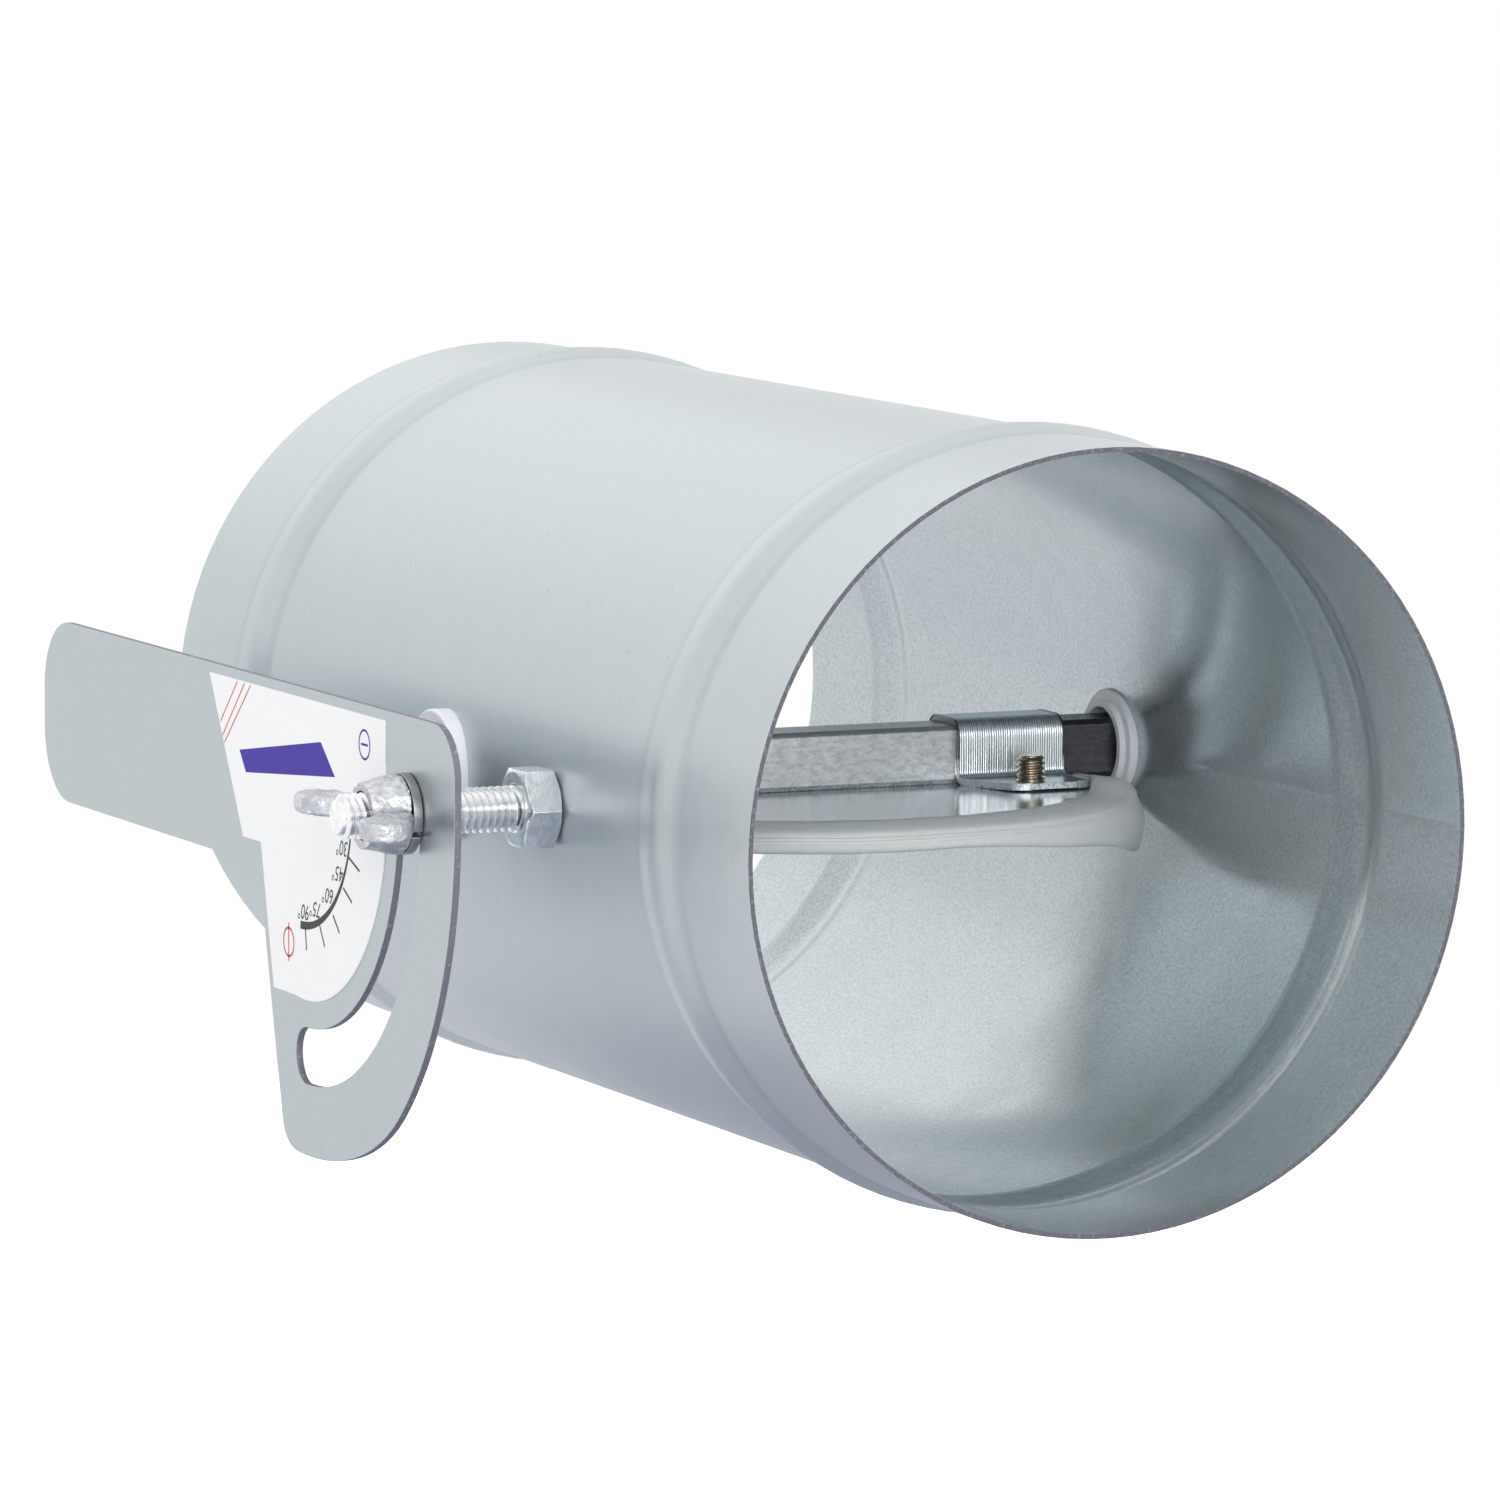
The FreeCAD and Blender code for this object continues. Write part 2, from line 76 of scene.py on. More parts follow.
# How far the print stands off the label's face
ink_lift = 0.02 * mm


# Shader nodes

def add(tree, kind, inputs=None, **settings):
    """One node: settings are its own, inputs are plain values or the sockets that feed them."""
    made = tree.nodes.new(kind)
    for name, value in settings.items():
        setattr(made, name, value)
    for key, value in (inputs or {}).items():
        if isinstance(value, bpy.types.NodeSocket):
            tree.links.new(value, made.inputs[key])
        else:
            made.inputs[key].default_value = value
    return made


def maths(tree, operation, first, second=0.0, clamp=False):
    """The result of one sum on one or two values."""
    made = add(tree, "ShaderNodeMath", {0: first, 1: second}, operation=operation)
    made.use_clamp = clamp
    return made.outputs[0]


def times(tree, first, second):
    """Two values multiplied."""
    return maths(tree, "MULTIPLY", first, second)


def apart(tree, value, place):
    """How far a value lies from a place on its axis, either way."""
    return maths(tree, "ABSOLUTE", maths(tree, "SUBTRACT", value, place))


def spread(tree, value, low, high, to_low=0.0, to_high=1.0):
    """A value brought from one range to another, smoothly and held at its ends."""
    inputs = {"Value": value, "From Min": low, "From Max": high, "To Min": to_low, "To Max": to_high}
    return add(tree, "ShaderNodeMapRange", inputs, interpolation_type="SMOOTHSTEP").outputs[0]


def toned(colour, share):
    """A plain colour made darker or lighter by a share, held at white."""
    return tuple(min(1.0, part * share) for part in colour)


def blend_colour(tree, share, first, second):
    """Two colours mixed, each a plain colour or a socket."""
    made = add(tree, "ShaderNodeMix", {"Factor": share}, data_type="RGBA")
    for socket, value in ((made.inputs[6], first), (made.inputs[7], second)):
        if isinstance(value, bpy.types.NodeSocket):
            tree.links.new(value, socket)
        else:
            socket.default_value = (*value, 1.0)
    return made.outputs[2]


def object_place(tree, stretch=(1.0, 1.0, 1.0)):
    """Place on the piece in metres, with its directions stretched for the pattern that reads it."""
    place = add(tree, "ShaderNodeTexCoord").outputs["Object"]
    return add(tree, "ShaderNodeVectorMath", {0: place, 1: stretch}, operation="MULTIPLY").outputs[0]


def cloud(tree, place, size, detail=3.0, roughness=0.55):
    """Soft noise whose patches are about size metres across."""
    inputs = {"Vector": place, "Scale": 1 / size, "Detail": detail, "Roughness": roughness}
    return add(tree, "ShaderNodeTexNoise", inputs).outputs[0]


def new_group(name, inputs, outputs):
    """An empty node group with its sockets, and its first and last node."""
    group = bpy.data.node_groups.new(name, "ShaderNodeTree")
    for label, kind, value in inputs:
        socket = group.interface.new_socket(label, in_out="INPUT", socket_type=kind)
        socket.default_value = value
    for label, kind in outputs:
        group.interface.new_socket(label, in_out="OUTPUT", socket_type=kind)
    return group, add(group, "NodeGroupInput"), add(group, "NodeGroupOutput")


def place_group(tree, name, inputs):
    """A shared effect placed in a material with its own values."""
    return add(tree, "ShaderNodeGroup", inputs, node_tree=bpy.data.node_groups[name]).outputs


def build_facing_group():
    """Mask of faces that look along an axis, such as the cut edge of a sheet."""
    group, start, end = new_group(
        "Facing mask",
        [("Axis", "NodeSocketVector", (0, 1, 0)), ("From", "NodeSocketFloat", 0.6),
         ("To", "NodeSocketFloat", 0.8)],
        [("Mask", "NodeSocketFloat")],
    )
    normal = add(group, "ShaderNodeTexCoord").outputs["Normal"]
    along = add(group, "ShaderNodeVectorMath", {0: normal, 1: start.outputs["Axis"]},
                operation="DOT_PRODUCT")
    size = maths(group, "ABSOLUTE", along.outputs["Value"])
    mask = spread(group, size, start.outputs["From"], start.outputs["To"])
    group.links.new(mask, end.inputs["Mask"])


def build_grain_group():
    """Rolled sheet grain: broad blotches, fine grain and drawn streaks."""
    group, start, end = new_group(
        "Sheet grain",
        [("Grain", "NodeSocketFloat", 2500.0), ("Streak", "NodeSocketVector", (300, 3000, 300)),
         ("Blotch", "NodeSocketFloat", 90.0)],
        [("Shade", "NodeSocketFloat"), ("Fine", "NodeSocketFloat"), ("Height", "NodeSocketFloat")],
    )
    place = add(group, "ShaderNodeTexCoord").outputs["Object"]

    def field(at, dark_end_band, detail, roughness, distortion=0.0):
        """Soft noise at a place, whose scale can come from a socket."""
        inputs = {"Vector": at, "Scale": dark_end_band, "Detail": detail, "Roughness": roughness,
                  "Distortion": distortion}
        return add(group, "ShaderNodeTexNoise", inputs).outputs[0]

    fine = field(place, start.outputs["Grain"], 2.0, 0.6)
    drawn = add(group, "ShaderNodeVectorMath", {0: place, 1: start.outputs["Streak"]}, operation="MULTIPLY")
    streak = field(drawn.outputs[0], 1.0, 3.0, 0.6)
    blotch = field(place, start.outputs["Blotch"], 4.0, 0.55, 0.4)
    total = maths(group, "ADD", times(group, blotch, 0.5), times(group, streak, 0.5))
    height = maths(group, "ADD", times(group, fine, 0.6), times(group, streak, 0.4))
    group.links.new(total, end.inputs["Shade"])
    group.links.new(fine, end.inputs["Fine"])
    group.links.new(height, end.inputs["Height"])


def build_speck_group():
    """Small scattered specks, such as pits, dust or bright nicks."""
    group, start, end = new_group(
        "Specks",
        [("Scale", "NodeSocketFloat", 400.0), ("Amount", "NodeSocketFloat", 0.2)],
        [("Mask", "NodeSocketFloat")],
    )
    place = add(group, "ShaderNodeTexCoord").outputs["Object"]
    cells = add(group, "ShaderNodeTexVoronoi", {"Vector": place, "Scale": start.outputs["Scale"]})
    near = spread(group, cells.outputs["Distance"], 0.16, 0.05)
    chance = add(group, "ShaderNodeSeparateColor", {0: cells.outputs["Color"]}).outputs[0]
    kept = maths(group, "LESS_THAN", chance, start.outputs["Amount"])
    group.links.new(times(group, near, kept), end.inputs["Mask"])


def build_wear_group():
    """Blotchy handling marks with hard-edged patches, for cast and plated parts."""
    group, start, end = new_group(
        "Handling wear",
        [("Scale", "NodeSocketFloat", 500.0), ("From", "NodeSocketFloat", 0.45),
         ("To", "NodeSocketFloat", 0.6)],
        [("Mask", "NodeSocketFloat"), ("Height", "NodeSocketFloat")],
    )
    place = add(group, "ShaderNodeTexCoord").outputs["Object"]
    inputs = {"Vector": place, "Scale": start.outputs["Scale"], "Detail": 5.0, "Roughness": 0.6,
              "Distortion": 0.8}
    patch = add(group, "ShaderNodeTexNoise", inputs).outputs[0]
    mask = spread(group, patch, start.outputs["From"], start.outputs["To"])
    group.links.new(mask, end.inputs["Mask"])
    group.links.new(patch, end.inputs["Height"])


def new_material(name):
    """A material with its shader, ready for nodes."""
    material = bpy.data.materials.new(name)
    material.use_nodes = True
    tree = material.node_tree
    shader = next(node for node in tree.nodes if node.type == "BSDF_PRINCIPLED")
    return material, tree, shader


def set_bump(tree, shader, height, distance):
    """Feeds the shader's normal from a height."""
    bump = add(tree, "ShaderNodeBump", {"Height": height, "Distance": distance, "Strength": 1.0})
    tree.links.new(bump.outputs[0], shader.inputs["Normal"])


def facing(tree, axis, low, high):
    """Mask of the faces that look along an axis, either way."""
    return place_group(tree, "Facing mask", {"Axis": axis, "From": low, "To": high})["Mask"]


def bead_shoulder(tree):
    """Mask of painted shade: lines along both shoulders of each bead, deepening the bands of shade that the
    bead's curve throws.
    """
    bead_from_end = 28.0 * mm
    shoulder_from_bead = 6.0 * mm
    line_fades = 1.6 * mm
    line_full = 0.3 * mm
    place = add(tree, "ShaderNodeSeparateXYZ", {0: object_place(tree)}).outputs
    from_end = maths(tree, "SUBTRACT", duct_middle, apart(tree, place[1], duct_middle))
    from_line = apart(tree, apart(tree, from_end, bead_from_end), shoulder_from_bead)
    return spread(tree, from_line, line_fades, line_full)


def seam(tree):
    """Mask of the thin welded seam along the underside of the tube."""
    seam_x = -10.5 * mm
    line_fades = 0.65 * mm
    line_full = 0.35 * mm
    underside = -30.0 * mm
    place = add(tree, "ShaderNodeSeparateXYZ", {0: object_place(tree)}).outputs
    line = spread(tree, apart(tree, place[0], seam_x), line_fades, line_full)
    beads = cloud(tree, object_place(tree, (0.4, 1.0, 0.4)), 0.8 * mm, 2.0)
    low = maths(tree, "LESS_THAN", place[2], underside)
    return times(tree, times(tree, line, low), spread(tree, beads, 0.3, 0.6, 0.35, 0.9))


def galvanised(name, colour, edge_colour, cut_axis, cut_range, streak, roughness, inside_colour=None,
               lit_back_colour=None, nicks=(0.50, 0.66, 1.7)):
    """Hot-dip galvanised sheet: satin grain on its faces and dark rough metal on its cut edges.

    Nicks are the noise levels between which an edge turns bright, and how bright it gets.
    """
    material, tree, shader = new_material(name)
    grain = place_group(tree, "Sheet grain", {"Streak": streak})
    cut = facing(tree, cut_axis, *cut_range)
    specks = place_group(tree, "Specks", {"Scale": 420.0, "Amount": 0.10})["Mask"]
    face = blend_colour(tree, spread(tree, grain["Shade"], 0.38, 0.62), toned(colour, 0.95), colour)
    face = blend_colour(tree, spread(tree, grain["Fine"], 0.35, 0.65, 0.0, 0.15), face, toned(colour, 0.72))
    fine_height = grain["Height"]
    if inside_colour:
        place = add(tree, "ShaderNodeTexCoord")
        flat = add(tree, "ShaderNodeVectorMath", {0: place.outputs["Object"], 1: (1, 0, 1)},
                   operation="MULTIPLY")
        outward = add(tree, "ShaderNodeVectorMath", {0: flat.outputs[0], 1: place.outputs["Normal"]},
                      operation="DOT_PRODUCT")
        inside = maths(tree, "LESS_THAN", outward.outputs["Value"], 0.0)
        sand = cloud(tree, place.outputs["Object"], 0.42 * mm, 2.0, 0.8)
        inner = blend_colour(tree, spread(tree, sand, 0.38, 0.62, 0.0, 0.6), inside_colour,
                             toned(inside_colour, 0.62))
        face = blend_colour(tree, inside, face, inner)
        fine_height = times(tree, fine_height, spread(tree, inside, 0.0, 1.0, 1.0, 0.5))
        # Painted shade: the bead shoulders are darkened towards under half the tube's colour.
        face = blend_colour(tree, times(tree, bead_shoulder(tree), 0.16), face, toned(colour, 0.45))
        face = blend_colour(tree, seam(tree), face, toned(colour, 0.5))
    # Painted light: faces turned towards +X, the plate's back towards the tube, take a much lighter colour
    # so the tube mirrors them brighter.
    if lit_back_colour:
        normal = add(tree, "ShaderNodeSeparateXYZ", {0: add(tree, "ShaderNodeTexCoord").outputs["Normal"]})
        face = blend_colour(tree, spread(tree, normal.outputs[0], 0.5, 0.8), face, lit_back_colour)
    face = blend_colour(tree, times(tree, specks, 0.35), face, toned(colour, 0.45))
    rough_edge = cloud(tree, object_place(tree), 0.5 * mm, 4.0)
    nick = spread(tree, rough_edge, nicks[0], nicks[1])
    edge = blend_colour(tree, nick, edge_colour, toned(edge_colour, nicks[2]))
    tree.links.new(blend_colour(tree, cut, face, edge), shader.inputs["Base Color"])
    shader.inputs["Metallic"].default_value = 0.82
    gloss = spread(tree, grain["Shade"], 0.35, 0.65, roughness - 0.03, roughness + 0.04)
    if inside_colour:
        gloss = maths(tree, "SUBTRACT", gloss, times(tree, inside, 0.15))
    edge_gloss = times(tree, cut, 0.62 - roughness)
    tree.links.new(maths(tree, "ADD", gloss, edge_gloss, clamp=True), shader.inputs["Roughness"])
    edge_height = times(tree, times(tree, cut, rough_edge), 3.0)
    height = maths(tree, "ADD", times(tree, fine_height, 0.14), edge_height)
    set_bump(tree, shader, height, 0.012 * mm)
    return material


def plated(name, colour, roughness, streak, worn, bump=0.02, dark=0.55, root_shade=0.0):
    """Bright zinc plate or bare steel: drawn lines, cloudy tarnish and, on threads, shaded roots."""
    material, tree, shader = new_material(name)
    grain = place_group(tree, "Sheet grain", {"Streak": streak, "Grain": 2200.0, "Blotch": 320.0})
    wear = place_group(tree, "Handling wear", {"Scale": 420.0, "From": 0.42, "To": 0.64})
    base = blend_colour(tree, times(tree, wear["Mask"], worn), colour, toned(colour, dark))
    base = blend_colour(tree, spread(tree, grain["Shade"], 0.36, 0.6, 0.25, 0.0), base, toned(colour, 0.5))
    if root_shade:
        bend = add(tree, "ShaderNodeNewGeometry").outputs["Pointiness"]
        base = blend_colour(tree, spread(tree, bend, 0.50, 0.44, 0.0, root_shade), base, toned(colour, 0.3))
    tree.links.new(base, shader.inputs["Base Color"])
    shader.inputs["Metallic"].default_value = 1.0
    gloss = spread(tree, wear["Height"], 0.3, 0.7, roughness - 0.06, roughness + 0.10)
    tree.links.new(gloss, shader.inputs["Roughness"])
    set_bump(tree, shader, grain["Height"], bump * mm)
    return material


def strap_steel(name, colour):
    """Zinc strap: drawn lines up its sides, a crown darkened to teal as painted shade, near-black ends that
    are partly raw edge and partly painted shade, and bright torn metal on its cut edges.
    """
    wall_end = 5.6 * mm
    ear_start = 6.2 * mm
    ear_height = -2.4 * mm
    end_fades = 7.6 * mm
    end_full = 7.75 * mm
    material, tree, shader = new_material(name)
    drawn = add(tree, "ShaderNodeTexWave", {"Vector": object_place(tree, (1.0, 0.02, 0.02)), "Scale": 900.0,
                                            "Distortion": 2.4, "Detail": 3.0, "Detail Scale": 1.4})
    scratches = cloud(tree, object_place(tree, (1.0, 0.02, 0.02)), 0.4 * mm, 3.0, 0.75)
    lines = maths(tree, "ADD", times(tree, drawn.outputs[1], 0.35), times(tree, scratches, 0.65))
    broad = cloud(tree, object_place(tree, (1.0, 0.3, 0.3)), 3.5 * mm, 2.0)
    side = facing(tree, y_axis, 0.5, 0.9)
    crown = facing(tree, z_axis, 0.72, 0.98)
    ends = facing(tree, x_axis, 0.12, 0.4)
    place = add(tree, "ShaderNodeSeparateXYZ", {0: object_place(tree)}).outputs
    on_ear = spread(tree, apart(tree, place[1], shaft_y), wall_end, ear_start)
    low = spread(tree, place[2], 0.0, ear_height)
    on_side = times(tree, side, maths(tree, "SUBTRACT", 1.0, on_ear))
    torn = maths(tree, "MAXIMUM", times(tree, side, on_ear), times(tree, ends, low))
    # Painted shade: up-facing faces of the crown are darkened to a dark teal.
    painted_crown_shade = [c * s for c, s in zip(colour, (0.28, 0.38, 0.42))]
    base = blend_colour(tree, times(tree, crown, 0.72), colour, painted_crown_shade)
    mark = times(tree, spread(tree, lines, 0.42, 0.68, 0.0, 0.4), on_side)
    base = blend_colour(tree, mark, base, toned(colour, 0.5))
    base = blend_colour(tree, spread(tree, broad, 0.35, 0.65, 0.0, 0.22), base, toned(colour, 0.55))
    # The strap's ends above the ear go near black: partly the raw cut edge's own colour, partly painted
    # shade of the gap beside the bar.
    from_middle = apart(tree, maths(tree, "ABSOLUTE", place[0]), strap_middle)
    at_end = maths(tree, "MAXIMUM", ends, spread(tree, from_middle, end_fades, end_full))
    raw_end_and_shade = times(tree, at_end, maths(tree, "SUBTRACT", 1.0, low))
    base = blend_colour(tree, times(tree, raw_end_and_shade, 0.95), base, toned(colour, 0.16))
    crumb = cloud(tree, object_place(tree), 0.45 * mm, 4.0, 0.7)
    torn_colour = blend_colour(tree, spread(tree, crumb, 0.36, 0.5), toned(colour, 0.5), colour)
    tree.links.new(blend_colour(tree, torn, base, torn_colour), shader.inputs["Base Color"])
    shader.inputs["Metallic"].default_value = 0.92
    gloss = maths(tree, "ADD", spread(tree, lines, 0.3, 0.7, 0.24, 0.36), times(tree, torn, 0.2))
    tree.links.new(gloss, shader.inputs["Roughness"])
    height = maths(tree, "ADD", times(tree, lines, on_side), times(tree, crumb, torn))
    set_bump(tree, shader, height, 0.10 * mm)
    return material


def bar_steel(name, colour):
    """Bare square bar: mottled mill skin, bright rubbed corners, painted shade on its upward faces, and
    near black towards its ends.
    """
    end_band_start = (38.0 * mm, 40.0 * mm)
    end_band_stop = (62.0 * mm, 58.0 * mm)
    low_corner = (-3.0 * mm, -3.5 * mm)
    end_band_colour = (0.050, 0.048, 0.053)
    material, tree, shader = new_material(name)
    mottle = cloud(tree, object_place(tree, (0.45, 1.0, 1.0)), 0.8 * mm, 5.0, 0.75)
    patch = cloud(tree, object_place(tree, (0.4, 1.0, 1.0)), 7.0 * mm, 3.0)
    fine = cloud(tree, object_place(tree), 0.3 * mm, 2.0)
    place = add(tree, "ShaderNodeSeparateXYZ", {0: object_place(tree)}).outputs
    from_centre = maths(tree, "ABSOLUTE", place[0])
    # The bar goes near black from about 38 mm to about 62 mm out from its middle.
    dark_end_band = times(tree, spread(tree, from_centre, *end_band_start), spread(tree, from_centre, *end_band_stop))
    base = blend_colour(tree, spread(tree, mottle, 0.36, 0.66, 0.0, 0.55), colour, toned(colour, 0.45))
    base = blend_colour(tree, spread(tree, patch, 0.4, 0.65, 0.0, 0.25), base, toned(colour, 0.66))
    # Painted shade: faces that look up are darkened toward a third of the bar's colour.
    up = facing(tree, z_axis, 0.6, 0.9)
    base = blend_colour(tree, times(tree, up, 0.45), base, toned(colour, 0.35))
    low_edge = spread(tree, place[2], *low_corner)
    crumb = times(tree, low_edge, spread(tree, fine, 0.5, 0.6))
    base = blend_colour(tree, times(tree, crumb, 0.8), base, toned(colour, 1.5))
    base = blend_colour(tree, times(tree, dark_end_band, 0.95), base, end_band_colour)
    tree.links.new(base, shader.inputs["Base Color"])
    shader.inputs["Metallic"].default_value = 0.86
    tree.links.new(spread(tree, mottle, 0.3, 0.7, 0.32, 0.5), shader.inputs["Roughness"])
    height = maths(tree, "ADD", times(tree, mottle, 0.7), times(tree, fine, 0.3))
    set_bump(tree, shader, height, 0.10 * mm)
    return material


def cast(name, colour):
    """Cast zinc: bright skin with blotchy dull patches, a pebbled surface, painted shade in its hollows and
    painted highlights on its ridges.
    """
    material, tree, shader = new_material(name)
    wear = place_group(tree, "Handling wear", {"Scale": 520.0, "From": 0.40, "To": 0.62})
    fine = cloud(tree, object_place(tree), 0.22 * mm, 3.0)
    base = blend_colour(tree, times(tree, wear["Mask"], 0.55), colour, toned(colour, 0.55))
    bend = add(tree, "ShaderNodeNewGeometry").outputs["Pointiness"]
    # Painted shade: hollows, where pointiness falls below a half, darken toward a seventh of the colour.
    base = blend_colour(tree, spread(tree, bend, 0.50, 0.44, 0.0, 0.85), base, toned(colour, 0.14))
    # Painted highlight: ridges, where pointiness rises above a half, turn near white.
    base = blend_colour(tree, spread(tree, bend, 0.53, 0.58), base, (0.95, 0.96, 0.97))
    tree.links.new(base, shader.inputs["Base Color"])
    shader.inputs["Metallic"].default_value = 1.0
    tree.links.new(spread(tree, wear["Height"], 0.3, 0.7, 0.14, 0.34), shader.inputs["Roughness"])
    height = maths(tree, "ADD", times(tree, wear["Height"], 1.6), times(tree, fine, 0.35))
    set_bump(tree, shader, height, 0.16 * mm)
    return material


def soft_plastic(name, colour, shade, roughness, glow, glow_reach, lip_streaks_and_side_shade=False):
    """Nylon or silicone: clouds a share darker than its colour, a faint skin and light that sinks in; on
    the seal, streaked clouds and painted shade on faces that do not look up.
    """
    material, tree, shader = new_material(name)
    stretch = (1.0, 1.0, 6.0) if lip_streaks_and_side_shade else (1.0, 1.0, 1.0)
    blotch = cloud(tree, object_place(tree, stretch), 6.0 * mm, 4.0)
    fine = cloud(tree, object_place(tree), 0.6 * mm, 3.0)
    base = blend_colour(tree, spread(tree, blotch, 0.35, 0.65), colour, toned(colour, shade))
    if lip_streaks_and_side_shade:
        # Painted shade: faces that turn away from up are darkened to 0.8 of the colour.
        normal = add(tree, "ShaderNodeTexCoord").outputs["Normal"]
        up = add(tree, "ShaderNodeSeparateXYZ", {0: normal}).outputs[2]
        base = blend_colour(tree, spread(tree, up, 0.7, 0.2), base, toned(colour, 0.8))
    tree.links.new(base, shader.inputs["Base Color"])
    gloss = spread(tree, fine, 0.3, 0.7, roughness - 0.05, roughness + 0.08)
    tree.links.new(gloss, shader.inputs["Roughness"])
    shader.inputs["Subsurface Weight"].default_value = glow
    shader.inputs["Subsurface Radius"].default_value = (1.0, 0.95, 0.9)
    shader.inputs["Subsurface Scale"].default_value = glow_reach
    set_bump(tree, shader, maths(tree, "ADD", fine, blotch), 0.03 * mm)
    return material


def film(name, colour, roughness, shine):
    """Label film or ink with a faint orange peel and dust."""
    material, tree, shader = new_material(name)
    peel = cloud(tree, object_place(tree), 1.2 * mm, 2.0)
    dust = place_group(tree, "Specks", {"Scale": 300.0, "Amount": 0.05})["Mask"]
    base = blend_colour(tree, times(tree, dust, 0.006), colour, toned(colour, 0.6))
    base = blend_colour(tree, spread(tree, peel, 0.35, 0.65, 0.0, 0.01), base, toned(colour, 0.7))
    tree.links.new(base, shader.inputs["Base Color"])
    tree.links.new(spread(tree, peel, 0.3, 0.7, roughness, roughness + 0.03), shader.inputs["Roughness"])
    shader.inputs["Specular IOR Level"].default_value = shine
    set_bump(tree, shader, peel, 0.001 * mm)
    return material


# Mesh pieces

def new_piece(name, mesh, material, body, replaced=()):
    """Puts a finished mesh in the scene, on its body, in its finish."""
    piece = bpy.data.objects.new(name, mesh)
    bpy.context.scene.collection.objects.link(piece)
    mesh.materials.clear()
    mesh.materials.append(material)
    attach(piece, body)
    if replaced:
        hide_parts(*replaced)
    return piece


def mesh_from(shape, name, smooth_angle=32):
    """A mesh from a bmesh, smooth except over edges sharper than the angle."""
    bmesh.ops.recalc_face_normals(shape, faces=shape.faces)
    mesh = bpy.data.meshes.new(name)
    shape.to_mesh(mesh)
    shape.free()
    for polygon in mesh.polygons:
        polygon.use_smooth = True
    mesh.set_sharp_from_angle(angle=smooth_angle * degree)
    return mesh


def eased_copy(node, name, ease, edge_angle=35):
    """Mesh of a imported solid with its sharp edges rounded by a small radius."""
    shape = bmesh.new()
    shape.from_mesh(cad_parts[node].data)
    bmesh.ops.remove_doubles(shape, verts=shape.verts, dist=0.0005 * mm)
    bmesh.ops.dissolve_limit(shape, angle_limit=0.2 * degree, verts=shape.verts, edges=shape.edges)
    sharp = [edge for edge in shape.edges
             if len(edge.link_faces) == 2 and edge.calc_face_angle(0.0) > edge_angle * degree]
    bmesh.ops.bevel(shape, geom=sharp, offset=ease, segments=3, profile=0.5, affect="EDGES",
                    clamp_overlap=True)
    return mesh_from(shape, name, 40)


def weighted(piece):
    """Keeps broad flat faces flat in their shading."""
    modifier = piece.modifiers.new("flat faces", "WEIGHTED_NORMAL")
    modifier.keep_sharp = True
    modifier.weight = 80
    return piece


def lathe_rows(shape, rows, closed_rows=False):
    """Quads between rows of points that each run once round."""
    rings = [[shape.verts.new(point) for point in row] for row in rows]
    pairs = list(zip(rings, rings[1:]))
    if closed_rows:
        pairs.append((rings[-1], rings[0]))
    for first, second in pairs:
        count = len(first)
        for index in range(count):
            following = (index + 1) % count
            shape.faces.new((first[index], first[following], second[following], second[index]))
    return rings


def thread_shape(length, radius, depth, pitch, end_chamfer, steps=48):
    """Threaded bar along local Z from 0 to its length, with a chamfered crest at its far end."""
    # Share of a pitch and radius of each point of one thread
    profile = ((0.00, radius), (0.14, radius), (0.46, radius - depth), (0.58, radius - depth))
    turns_before = 1.5
    core_share = 0.3
    turns = int(length / pitch) + 3
    shape = bmesh.new()
    columns = []
    for step in range(steps):
        angle = 2 * math.pi * step / steps
        column = []
        for turn in range(turns):
            for share, reach in profile:
                z = (turn - turns_before + share + step / steps) * pitch
                limit = radius - max(0.0, end_chamfer - (length - z))
                held = max(radius * core_share, min(reach, limit))
                column.append(shape.verts.new((held * math.cos(angle), held * math.sin(angle), z)))
        columns.append(column)
    count = len(columns[0])
    for step in range(steps):
        here = columns[step]
        last = step == steps - 1
        there = columns[0] if last else columns[step + 1]
        shift = len(profile) if last else 0
        for index in range(count - 1):
            if index + shift + 1 < count:
                corners = (here[index], there[index + shift], there[index + shift + 1], here[index + 1])
                shape.faces.new(corners)
    for place, away in (((0, 0, 0), (0, 0, -1)), ((0, 0, length), (0, 0, 1))):
        everything = list(shape.verts) + list(shape.edges) + list(shape.faces)
        cut = bmesh.ops.bisect_plane(shape, geom=everything, plane_co=place, plane_no=away,
                                     clear_outer=True)
        rim = [item for item in cut["geom_cut"] if isinstance(item, bmesh.types.BMEdge)]
        bmesh.ops.edgeloop_fill(shape, edges=rim)
    return shape


